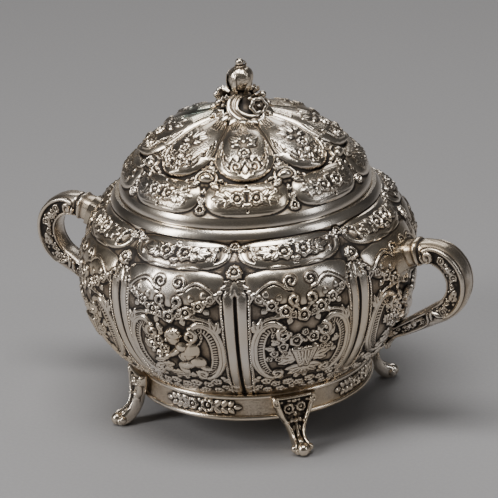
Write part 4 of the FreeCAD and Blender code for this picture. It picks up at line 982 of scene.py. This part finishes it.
def handle_path(gap):
    """Stations down the middle of a handle: x, z, direction of its outer side, and length so far."""
    lead_centre = (HANDLE_TOP[0], HANDLE_TOP[1] - HANDLE_LEAD)
    bend_centre = (HANDLE_TOP[0], HANDLE_TOP[1] - HANDLE_BEND)
    side_centre = (HANDLE_TOP[0] + HANDLE_BEND - HANDLE_SIDE, bend_centre[1])
    drop = (-HANDLE_RUN * math.sin(HANDLE_FALL), -HANDLE_RUN * math.cos(HANDLE_FALL))
    tail_centre = (side_centre[0] + drop[0] + (HANDLE_SIDE + HANDLE_TAIL) * math.cos(HANDLE_FALL),
                   side_centre[1] + drop[1] - (HANDLE_SIDE + HANDLE_TAIL) * math.sin(HANDLE_FALL))
    # the straight run has no centre, and lies between the bends of the side and the tail
    legs = [(lead_centre, HANDLE_LEAD, math.radians(126), math.radians(90)),
            (bend_centre, HANDLE_BEND, math.radians(90), 0.0),
            (side_centre, HANDLE_SIDE, 0.0, -HANDLE_FALL), None,
            (tail_centre, -HANDLE_TAIL, -HANDLE_FALL, TAIL_TURN - HANDLE_FALL)]
    stations, length = [], 0.0
    for leg in legs:
        if leg is None:
            x0 = side_centre[0] + HANDLE_SIDE * math.cos(HANDLE_FALL)
            z0 = side_centre[1] - HANDLE_SIDE * math.sin(HANDLE_FALL)
            steps = int(HANDLE_RUN / gap)
            for t in np.arange(steps) / steps:
                stations.append((x0 + t * drop[0], z0 + t * drop[1], -HANDLE_FALL, length + t * HANDLE_RUN))
            length += HANDLE_RUN
            continue
        (cx, cz), radius, start, end = leg
        run = abs(radius * (end - start))
        steps = int(run / gap)
        for t in np.arange(steps) / steps:
            turn = start + t * (end - start)
            stations.append((cx + radius * math.cos(turn), cz + radius * math.sin(turn), turn,
                             length + t * run))
        length += run
    turn = legs[-1][3]
    stations.append((cx + radius * math.cos(turn), cz + radius * math.sin(turn), turn, length))
    return np.array(stations)


path = handle_path(HANDLE_STEP)
total = path[-1, 3]
share = path[:, 3] / total
stations = [0, 0.10, 0.2, 0.35, 0.5, 0.62, 0.72, 0.84, 0.93, 1]
half_deep = np.interp(share, stations, [4.6, 4.3, 4.0, 4.0, 3.9, 3.6, 3.2, 2.7, 1.9, 0.9])
half_wide = np.interp(share, stations, [4.8, 4.75, 4.7, 4.65, 4.5, 4.3, 3.95, 3.45, 2.5, 1.3])
around = np.linspace(0, 2 * math.pi, HANDLE_AROUND, endpoint=False)
around_grid, run_along = np.meshgrid(around, path[:, 3])
flank = np.abs(np.arctan2(np.sin(around_grid), np.cos(around_grid)))
handle_relief = Relief(run_along, (flank - math.pi / 2) * HANDLE_FLANK)


def draw_handle(relief):
    """One flank, seen from the side: x runs along the handle, and y from its outer to its inner side."""
    x, y = relief.x, relief.y
    relief.bare[:] = 1
    for low, high, outer, inner in ((13.8, 41.0, -1.9, 3.2), (44.5, 66.0, -1.6, 2.3)):
        ends = np.clip((x - low) / 1.2, 0, 1) * np.clip((high - x) / 1.2, 0, 1)
        panel = np.clip((y - outer) / 0.35, 0, 1) * np.clip((inner - y) / 0.35, 0, 1) * ends
        relief.swell -= 0.55 * panel
        relief.bare -= panel
    # ridge at the mouth of the collar
    relief.height += 0.55 * np.exp(-((x - 8.3) / 0.55) ** 2) - 0.4 * np.exp(-((x - 9.5) / 0.4) ** 2)
    relief.stroke(spiral(12.6, 0.6, 2.1, 180, 1.4, -1, shrink=0.2), 0.62, 0.8, taper=(1, 0.8))
    relief.boss(12.6, 0.6, 0.7, 0.7, 0.9)
    relief.stroke(smooth_curve([(11.4, -1.2), (13.6, -2.5), (18, -2.9), (26, -2.9), (33, -2.7), (38, -1.8),
                                (41.0, 0.2), (42.6, 2.4)]), 1.05, 0.75, taper=(0.7, 1, 1, 1, 0.9, 0.4))
    relief.stroke(smooth_curve([(43.6, -0.6), (42.6, 1.4), (41.2, 3.0)]), 0.8, 0.6, taper=(0.4, 1, 0.3))
    relief.stroke(smooth_curve([(43.8, 1.8), (46, -1.2), (50, -2.3), (57, -2.2), (63, -1.7), (66.5, 0.4),
                                (65.6, 1.6)]), 0.75, 0.6, taper=(0.5, 1, 1, 1, 0.8, 0.6))
    for line in ([(15, 3.5), (24, 3.6), (34, 3.5), (41, 3.2)], [(45, 2.7), (54, 2.6), (62, 2.4), (66, 1.6)]):
        relief.stroke(smooth_curve(line), 0.42, 0.4, taper=(0.5, 1, 1, 0.6))
    rng = np.random.default_rng(9)
    for low, high, side, size in ((17.5, 39.5, 0.6, 1.35), (47.0, 64.0, 0.35, 1.15)):
        for step, at in enumerate(np.arange(low, high, 3.5)):
            lean = side + (0.7 if step % 2 else -0.6)
            if step % 3 != 1:
                relief.rose(at, lean, size * (1 - 0.12 * (step % 2)), 0.55, turn=20 * step)
            else:
                for way in (0, 55, -55, 180):
                    relief.leaf(at - 0.4, lean, way, 2.3, 0.7, 0.45)
            for berry in range(3):
                relief.boss(at + rng.uniform(1.1, 2.4), side + rng.uniform(-1.9, 2.1), 0.55, 0.5, 0.4)
            relief.leaf(at + 1.6, side - lean * 0.7, 150 - 100 * (step % 2), 2.3, 0.6, 0.4)
    for line in (-1.7, -0.6, 0.6, 1.8):
        relief.stroke([(68.5, line * 0.9), (total - 1.2, line * 0.4)], 0.5, 0.5, taper=(0.5, 1, 0.7))
    relief.uneven(5, 4.0, 0.025)


draw_handle(handle_relief)
section = np.stack([np.sign(ratio) * np.abs(ratio) ** HANDLE_CORNER * half[:, None] for ratio, half in
                    ((np.cos(around_grid), half_deep), (np.sin(around_grid), half_wide))], -1)
handle_height = soften(handle_relief.height, 0.45) + handle_relief.swell
outward = section / (np.linalg.norm(section, axis=-1, keepdims=True) + 1e-9)
section = section + outward * (handle_height[..., None] - 0.25)
turn = path[:, 2][:, None]
handle_skin = np.stack([path[:, 0][:, None] + section[..., 0] * np.cos(turn), section[..., 1],
                        path[:, 1][:, None] + section[..., 0] * np.sin(turn)], -1)
handle_silver = silver("handle_silver")
for name, angle in (("handle_right", 0.0), ("handle_left", math.pi)):
    count = handle_skin.shape[0] * HANDLE_AROUND
    points = turned_about_z(handle_skin, angle).reshape(-1, 3)
    faces = [face[::-1] for face in grid_faces(handle_skin.shape[0], HANDLE_AROUND, wrap=True)]
    caps = [list(range(HANDLE_AROUND)), list(range(count - HANDLE_AROUND, count))[::-1]]
    mesh = new_mesh(f"{name}_casting", points, faces + caps, handle_silver, (len(faces), len(faces) + 1))
    set_finish(mesh, np.clip(handle_relief.tarnish_and_shade(0.27) + 0.12, 0, 1), handle_relief.ground())
    add_piece(mesh.name, mesh, "bowl", [name])


# ---- Feet ---------------------------------------------------------------------------------------
# Four cast feet, soldered over the band: a bracket with two roses between smooth rails, narrowing to
# an ankle, and a ball toe with a smaller ball on either side.
FOOT_STATIONS = smooth_curve([                 # front and back as (r, z), then half the width
    (42.3, 18.9, 40.05, 18.9, 7.6), (42.4, 15.6, 40.05, 15.6, 7.3), (42.5, 12.8, 40.05, 12.8, 6.1),
    (42.8, 9.9, 40.05, 9.9, 4.5), (43.5, 7.7, 40.4, 7.2, 3.3), (44.6, 5.9, 41.8, 4.2, 2.7),
    (46.4, 4.5, 43.6, 1.9, 2.6), (48.4, 3.5, 45.6, 0.6, 2.8), (49.8, 2.4, 47.4, 0.2, 2.8),
    (49.9, 1.2, 48.4, 0.2, 2.2)], per_span=11)
FOOT_FRONT, FOOT_BACK = 66, 18
RAYS, RAY_LIFT, OPEN_SHARE = 14, 0.05, 0.12


def ball(centre, radii, rows=12, columns=20):
    """Closed ellipsoid: its points and faces."""
    lean, turn = np.meshgrid(np.linspace(0, math.pi, rows + 1)[1:-1],
                             np.linspace(0, 2 * math.pi, columns, endpoint=False), indexing="ij")
    points = np.stack([np.sin(lean) * np.cos(turn), np.sin(lean) * np.sin(turn), np.cos(lean)], -1)
    points = np.vstack([points.reshape(-1, 3), [(0, 0, 1), (0, 0, -1)]]) * radii + centre
    faces = [list(face) for face in grid_faces(rows - 1, columns, wrap=True)]
    last = (rows - 2) * columns
    for step in range(columns):
        after = (step + 1) % columns
        faces += [[after, step, len(points) - 2], [last + step, last + after, len(points) - 1]]
    return points, faces


def shade_recesses(points, normals, faces, reach):
    """Share of the sky that nearby metal hides from each point, 0 to 1."""
    tree = BVHTree.FromPolygons([tuple(p) for p in points], faces)
    rng = np.random.default_rng(2)
    ways = rng.normal(size=(RAYS, 3))
    ways /= np.linalg.norm(ways, axis=1, keepdims=True)
    hidden = np.zeros(len(points))
    for index, (point, normal) in enumerate(zip(points, normals)):
        start = Vector(point + normal * RAY_LIFT)
        for way in ways:
            hidden[index] += tree.ray_cast(start, Vector(way + normal * 1.1), reach)[0] is not None
    return hidden / len(ways)


def add_casting(name, solids, material, body, replaced, turn=0.0, reach=3.0, gain=1.3):
    """Joins closed solids into one cast piece, and paints shade where nearby metal hides the sky. Each solid
    is (points, faces, darkness, ground).
    """
    points, faces, dark, ground = [], [], [], []
    for solid in solids:
        faces += [[int(corner) + len(points) for corner in face] for face in solid[1]]
        points += list(solid[0])
        dark += list(np.broadcast_to(solid[2], len(solid[0])))
        ground += list(np.broadcast_to(solid[3], len(solid[0])))
    mesh = new_mesh(name, turned_about_z(np.array(points), turn), faces, material)
    shape = bmesh.new()
    shape.from_mesh(mesh)
    bmesh.ops.recalc_face_normals(shape, faces=shape.faces)
    shape.to_mesh(mesh)
    shape.free()
    for polygon in mesh.polygons:              # flat end faces have many corners
        polygon.use_smooth = len(polygon.vertices) < 9
    places, normals = np.zeros(len(points) * 3), np.zeros(len(points) * 3)
    mesh.vertices.foreach_get("co", places)
    mesh.vertices.foreach_get("normal", normals)
    # Painted shade: the share of sky that nearby metal hides from each point darkens it, in recesses and
    # between solids, on top of each solid's own tarnish.
    hidden = shade_recesses(places.reshape(-1, 3) / MM, normals.reshape(-1, 3),
                            [list(polygon.vertices) for polygon in mesh.polygons], reach)
    set_finish(mesh, np.clip(np.array(dark) + gain * (hidden - OPEN_SHARE), 0, 1), ground)
    add_piece(name, mesh, body, replaced)


def draw_foot(relief):
    """x runs across the foot, and y down its front from the top edge."""
    x, s = relief.x, relief.y
    rail_x = np.interp(s, [0, 2, 4, 7, 9, 10.4, 13, 16, 19], [6.4, 5.9, 5.3, 4.1, 3.0, 2.5, 2.0, 2.0, 2.2])
    field = np.clip((rail_x - 0.4 - np.abs(x)) / 0.4, 0, 1) * np.clip((s - 0.8) / 0.3, 0, 1)
    field = field * np.clip((15.5 - s) / 1.5, 0, 1)
    relief.bare[:] = 1
    relief.bare -= 0.95 * field
    relief.swell -= 0.55 * field
    for side in (-1, 1):
        relief.stroke(smooth_curve([(side * 6.1, 1.0), (side * 5.6, 3.4), (side * 4.7, 6.4),
                                    (side * 3.3, 8.9)]), 0.95, 0.95, taper=(0.8, 1, 1, 0.6))
        relief.stroke(smooth_curve([(side * 3.7, 9.3), (side * 2.7, 11.0), (side * 2.0, 13.6),
                                    (side * 2.1, 16.4), (side * 2.6, 18.6)]), 0.85, 0.9,
                      taper=(0.5, 1, 1, 0.9, 0.6))
        relief.stroke(spiral(side * 6.1, 2.1, 1.5, 270, 1.1, side, shrink=0.3), 0.6, 1.15)
        relief.boss(side * 3.0, 9.3, 0.95, 0.85, 1.1)
        relief.boss(side * 4.6, 2.2, 0.7, 0.7, 0.5)
        relief.boss(side * 3.5, 7.0, 0.6, 0.6, 0.4)
        relief.leaf(side * 0.6, 8.2, mirrored(35, side), 2.2, 0.6, 0.4)
        relief.leaf(side * 0.5, 10.4, mirrored(60, side), 2.4, 0.55, 0.4)
    relief.stroke([(-5.6, 0.7), (0, 0.5), (5.6, 0.7)], 0.5, 0.6)
    relief.rose(-2.15, 4.6, 2.0, 0.95, petals=8)
    relief.rose(2.1, 4.3, 1.8, 0.9, petals=8, turn=20)
    for at in ((-0.1, 1.9, 0.95, 0.8, 0.7), (1.5, 1.8, 0.6, 0.5, 0.5), (-1.8, 1.8, 0.7, 0.5, 0.5),
               (0, 6.7, 0.6, 0.8, 0.5), (0, 8.9, 1.0, 0.95, 0.95)):
        relief.boss(*at)
    relief.stroke([(0, 9.8), (0, 12.6), (0, 16.2)], 0.85, 0.75, taper=(0.5, 0.8, 1.3))


front_u = np.sin(np.linspace(-math.pi / 2, math.pi / 2, FOOT_FRONT + 1))
back_u = -np.sin(np.linspace(-math.pi / 2, math.pi / 2, FOOT_BACK + 1))[1:-1]
foot_u = np.concatenate([front_u, back_u])
foot_share = 0.5 + 0.5 * np.concatenate([np.ones(len(front_u)), -np.ones(len(back_u))]) \
    * (1 - np.abs(foot_u) ** 6) ** 0.5
foot_run = np.concatenate([[0], np.cumsum(np.hypot(*np.diff(FOOT_STATIONS[:, :2], axis=0).T))])
foot_across = foot_u[None] * FOOT_STATIONS[:, 4:5]
foot_relief = Relief(foot_across, np.repeat(foot_run[:, None], len(foot_u), 1))
draw_foot(foot_relief)
foot_r = FOOT_STATIONS[:, 0:1] * foot_share + FOOT_STATIONS[:, 2:3] * (1 - foot_share)
foot_z = FOOT_STATIONS[:, 1:2] * foot_share + FOOT_STATIONS[:, 3:4] * (1 - foot_share)
foot_skin = np.stack([np.sqrt(foot_r ** 2 - foot_across ** 2), foot_across, foot_z], -1)
is_front = np.concatenate([np.ones(len(front_u)), np.zeros(len(back_u))])[None] \
    * np.clip((1 - np.abs(foot_u)) / 0.02, 0, 1)
rise = (soften(foot_relief.height, 0.5) + foot_relief.swell) * is_front
rise = rise * np.clip((foot_run[-1] - foot_run) / 2, 0, 1)[:, None]
lean_out = np.gradient(FOOT_STATIONS[:, :2], axis=0)
lean_out /= np.hypot(*lean_out.T)[:, None]
foot_skin[..., 0] -= rise * lean_out[:, 1:2]
foot_skin[..., 2] += rise * lean_out[:, 0:1]
foot_faces = [list(face) for face in grid_faces(len(FOOT_STATIONS), len(foot_u), wrap=True)]
count = foot_skin.shape[0] * len(foot_u)
foot_faces += [list(range(len(foot_u))), list(range(count - len(foot_u), count))]
foot_dark = (0.8 * foot_relief.tarnish_and_shade(0.25) * is_front + 0.25 * (1 - is_front)).ravel()
foot_solids = [(foot_skin.reshape(-1, 3), foot_faces, foot_dark, (foot_relief.ground() * is_front).ravel()),
               (*ball((49.0, 0, 2.25), (2.3, 2.15, 2.2)), 0.0, 0.0)]
foot_solids += [(*ball((48.0, side * 2.75, 2.5), (1.25, 1.1, 1.25)), 0.0, 0.0) for side in (-1, 1)]
foot_silver = silver("foot_silver")
for name, angle in (("foot_front_right", -45), ("foot_back_right", 45), ("foot_back_left", 135),
                    ("foot_front_left", 225)):
    add_casting(f"{name}_casting", foot_solids, foot_silver, "bowl", [name],
                math.radians(angle))


# ---- Finial -------------------------------------------------------------------------------------
# Cast rocaille knob: scrolls with hollow fluted bands, open roses and leaves round a dark neck, and
# on it a closed bud with sepals. A screw through the crown of the lid holds it.
FINIAL_TURN = math.radians(28.2)
BAR_AROUND, BAR_STEPS = 12, 7


def capped_tube(rows, columns):
    """Faces of a tube of rings, with a flat face over each end."""
    faces = [list(face) for face in grid_faces(rows, columns, wrap=True)]
    return faces + [list(range(columns)), list(range((rows - 1) * columns, rows * columns))]


def bar(line, wide, thick, face, dark):
    """Closed bar along a line in space; its flat side looks along face. Widths run end to end."""
    line = smooth_curve(line, BAR_STEPS)
    along = np.gradient(line, axis=0)
    along /= np.linalg.norm(along, axis=1, keepdims=True)
    side = np.cross(along, np.array(face, float))
    side /= np.linalg.norm(side, axis=1, keepdims=True)
    out = np.cross(side, along)
    at = np.linspace(0, 1, len(line))
    wide = np.interp(at, np.linspace(0, 1, len(wide)), wide)[:, None, None]
    thick = np.interp(at, np.linspace(0, 1, len(thick)), thick)[:, None, None]
    turn = np.linspace(0, 2 * math.pi, BAR_AROUND, endpoint=False)[None, :, None]
    points = line[:, None] + side[:, None] * np.cos(turn) * wide + out[:, None] * np.sin(turn) * thick
    return points.reshape(-1, 3), capped_tube(len(line), BAR_AROUND), dark, 0.0


def rose_solids(centre, face, radius):
    """Open rose of six petals: a ruffled ring, the dark dish inside it, and a button."""
    centre = np.array(centre)
    face = np.array(face, float) / np.linalg.norm(face)
    side = np.cross((0, 0, 1), face)
    side /= np.linalg.norm(side)
    up = np.cross(face, side)
    turn, tube = np.meshgrid(*(np.linspace(0, 2 * math.pi, steps, endpoint=False) for steps in (40, 10)),
                             indexing="ij")
    thick = radius * 0.24
    r = radius * (0.76 + 0.07 * np.cos(6 * turn)) + thick * np.cos(tube)
    high = thick * np.sin(tube)
    ring = centre + r[..., None] * (np.cos(turn)[..., None] * side + np.sin(turn)[..., None] * up) \
        + high[..., None] * face
    index = np.arange(400).reshape(40, 10)
    after, right = np.roll(index, -1, 0), np.roll(index, -1, 1)
    ring_faces = np.stack([index, after, np.roll(after, -1, 1), right], -1).reshape(-1, 4)
    dish, faces = ball((0, 0, 0), (1, 1, 1))
    dish = centre - face * radius * 0.15 + (dish[:, :1] * side + dish[:, 1:2] * up) * radius * 0.8 \
        + dish[:, 2:] * face * radius * 0.22
    return [(ring.reshape(-1, 3), ring_faces, 0.0, 0.0), (dish, faces, 0.45, 0.0),
            (*ball(centre + face * radius * 0.12, (radius * 0.2,) * 3, 8, 12), 0.0, 0.0)]


def spun(outline, columns=40, ruffle=0.0, lobes=5, lean=0.0, pitted=0.0):
    """Closed solid of (r, z) corners round the axis, with soft lobes, a lean and a pitted skin."""
    outline = np.array(outline, float)
    turn = np.linspace(0, 2 * math.pi, columns, endpoint=False)
    swirl = 1 + ruffle * (np.abs(np.sin(lobes * turn[None] / 2 + 0.09 * outline[:, 1:2])) - 0.6)
    r = outline[:, :1] * swirl
    r = r + pitted * np.sin(11 * turn + 2.3 * outline[:, 1:2]) * np.sin(7 * turn - 4.1 * outline[:, 1:2])
    x = r * np.cos(turn) + lean * (outline[:, 1:2] - outline[0, 1])
    points = np.stack([x, r * np.sin(turn), np.repeat(outline[:, 1:2], columns, 1)], -1)
    return points.reshape(-1, 3), capped_tube(len(outline), columns)


def dome_z(x, y):
    """Height of the plain dome of the lid at a place."""
    return CROWN_Z - DOME_R + math.sqrt(DOME_R ** 2 - x * x - y * y)


def rocaille():
    """One half of the knob's foot, with its front toward -y."""
    solids = []
    left_rim = [(-1.6, -2.6, 110.2), (-3.2, -4.4, 109.2), (-3.6, -6.2, 107.2), (-2.3, -7.7, 105.2),
                (0.4, -9.0, 103.6), (3.6, -9.0, 103.0), (6.0, -7.7, 103.9), (6.2, -6.6, 105.2)]
    right_rim = [(0.2, -3.3, 110.0), (-0.9, -5.0, 108.9), (-1.2, -6.4, 107.2), (-0.1, -7.3, 105.9),
                 (2.0, -8.0, 105.0), (3.9, -7.9, 104.8), (5.0, -7.0, 105.2), (4.6, -6.4, 106.0)]
    face = (0.1, -1.0, 0.45)
    solids.append(bar(left_rim, (0.5, 0.75, 0.8, 0.9, 0.85, 0.7, 0.5), (0.5, 0.7, 0.8, 0.8, 0.6), face, 0.0))
    solids.append(bar(right_rim, (0.4, 0.55, 0.6, 0.6, 0.5), (0.4, 0.6, 0.6, 0.5), face, 0.0))
    for share in (0.3, 0.5, 0.7):
        line = [tuple(a * (1 - share) + b * share for a, b in zip(p, q)) for p, q in zip(left_rim, right_rim)]
        line = [(px, py + 0.35, pz) for px, py, pz in line]
        solids.append(bar(line, (0.3, 0.42, 0.42, 0.42, 0.3), (0.3,), face, 0.35))
    middle = [tuple((a + b) / 2 for a, b in zip(p, q)) for p, q in zip(left_rim, right_rim)]
    middle = [(px, py + 0.9, pz) for px, py, pz in middle]
    solids.append(bar(middle, (1.0, 1.5, 1.6, 1.6, 1.2, 0.8), (0.5,), face, 0.75))
    # smooth fan of leaf below the scroll, its points on the dome
    for tip, start, wide in (
            ((-3.6, -10.4), (-1.6, -7.6, 105.0), 1.3), ((0.6, -11.2), (0.0, -8.2, 104.6), 1.4),
            ((4.4, -10.2), (2.6, -8.2, 104.0), 1.2), ((-6.8, -8.2), (-3.6, -6.6, 105.2), 1.3),
            ((8.2, -6.6), (5.0, -6.2, 104.6), 1.2), ((9.6, -2.0), (5.2, -2.6, 106.0), 1.5),
            ((-9.4, -3.0), (-4.6, -3.2, 106.2), 1.6)):
        end = (tip[0], tip[1], dome_z(*tip) + 0.45)
        half_way = tuple((a + b) / 2 for a, b in zip(start, end))
        half_way = (half_way[0], half_way[1], half_way[2] + 0.1)
        solids.append(bar([start, half_way, end], (0.5, wide, wide * 0.9, 0.1), (0.4, 0.5, 0.4, 0.12),
                          (0, -0.5, 1), 0.05))
    for rose in (((5.0, -6.4, 107.7), (0.35, -1.0, 0.30), 2.9),
                 ((-6.4, -5.6, 105.2), (-0.5, -0.8, 0.75), 1.75),
                 ((-4.2, -7.2, 104.9), (-0.2, -0.9, 0.75), 1.35)):
        solids += rose_solids(*rose)
    for centre, size in (((-6.3, -2.6, 108.2), 1.15), ((8.0, -4.9, 103.9), 1.05), ((-7.9, -4.0, 104.6), 0.9),
                         ((-5.0, -3.6, 107.4), 0.8), ((5.6, -7.4, 103.9), 0.8), ((2.6, -5.6, 110.0), 0.7)):
        solids.append((*ball(centre, (size, size, size)), 0.0, 0.0))
    for line in ([(3.2, -2.6, 109.6), (4.6, -3.8, 110.4), (5.2, -4.4, 111.2)],
                 [(-3.6, -3.4, 108.4), (-4.9, -4.0, 109.6), (-5.2, -3.8, 110.8)],
                 [(-2.6, -3.6, 109.2), (-3.9, -4.4, 110.2), (-4.0, -4.2, 111.3)]):
        solids.append(bar(line, (0.5, 0.9, 0.1), (0.4, 0.4, 0.1), (0.3, -1, 0.2), 0.1))
    return solids


finial_silver = silver("finial_silver")
front_half = [(points * (1.14, 1.14, 1.0), *rest) for points, *rest in rocaille()]
bell = [(8.3, dome_z(8.3, 0) + 0.05), (8.2, 104.2), (6.9, 105.3), (5.4, 106.6), (4.2, 108.0), (3.3, 109.5)]
knob_foot = [(*spun(bell, ruffle=0.06, lobes=8), 0.8, 0.0)] + front_half
knob_foot += [(turned_about_z(points, math.pi), *rest) for points, *rest in front_half]
add_casting("finial_rocaille", knob_foot, finial_silver, "lid", ["finial_base"], FINIAL_TURN,
            reach=3.0, gain=1.5)

egg_run = np.linspace(0.06, math.pi - 0.1, 26)
egg = [(3.95 * math.sin(a) ** 0.85 * (1.04 - 0.1 * math.cos(a)), 114.9 - 4.3 * math.cos(a)) for a in egg_run]
bud = [(*spun([(2.9, 109.6), (2.7, 110.4), (2.5, 111.4)]), 0.5, 0.0),
       (*spun(egg, columns=72, ruffle=0.10, lobes=5, lean=0.05, pitted=0.10), 0.10, 0.7)]
for turn in range(5):
    angle = math.radians(18 + 72 * turn)
    line = [(r * math.cos(angle + sway), r * math.sin(angle + sway), z) for r, z, sway in (
        (2.6, 110.3, 0.0), (3.7, 112.0, 0.06), (4.25, 114.0, 0.14), (4.1, 116.4, 0.24), (3.2, 118.2, 0.32))]
    bud.append(bar(line, (0.9, 1.1, 0.9, 0.5, 0.1), (0.3, 0.3, 0.28, 0.2, 0.1),
                   (math.cos(angle), math.sin(angle), 0), 0.02))
bud += [(*ball((0.35, 0, 119.2), (1.9, 1.9, 0.7)), 0.55, 0.0),
        (*ball((0.2, -0.2, 120.6), (1.4, 1.35, 1.35)), 0.0, 0.0),
        bar([(1.4, 0.2, 118.6), (2.2, 0.3, 119.8), (1.6, 0.2, 121.0)], (0.6, 0.7, 0.15), (0.35, 0.35, 0.12),
            (1, 0, 0.2), 0.05)]
add_casting("finial_closed_bud", bud, finial_silver, "lid", ["finial_bud"], FINIAL_TURN,
            reach=2.0, gain=1.3)


# ---- Plain turned parts -------------------------------------------------------------------------
# Collar, floor, wires, rim and flange of the lid are plain turned silver, soldered on, and so are the
# duller collars of the handles. The screw, washer and nut that hold the finial are brass.
plain_silver = silver("plain_silver", wear=0.18)
collar_silver = silver("collar_silver", bright=(0.60, 0.55, 0.49), wear=0.35)
brass = silver("brass", bright=(0.72, 0.50, 0.22), dark=(0.08, 0.05, 0.02))
for metal, names in (
        (plain_silver, ("bowl_floor", "neck_ring", "foot_band_upper_wire", "foot_band_lower_wire",
                        "lid_rim_moulding", "lid_bezel")),
        (collar_silver, ("handle_socket_right", "handle_socket_left")),
        (brass, ("finial_screw", "finial_washer", "finial_nut"))):
    for name in names:
        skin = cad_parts[name].data.materials
        skin.clear()
        skin.append(metal)
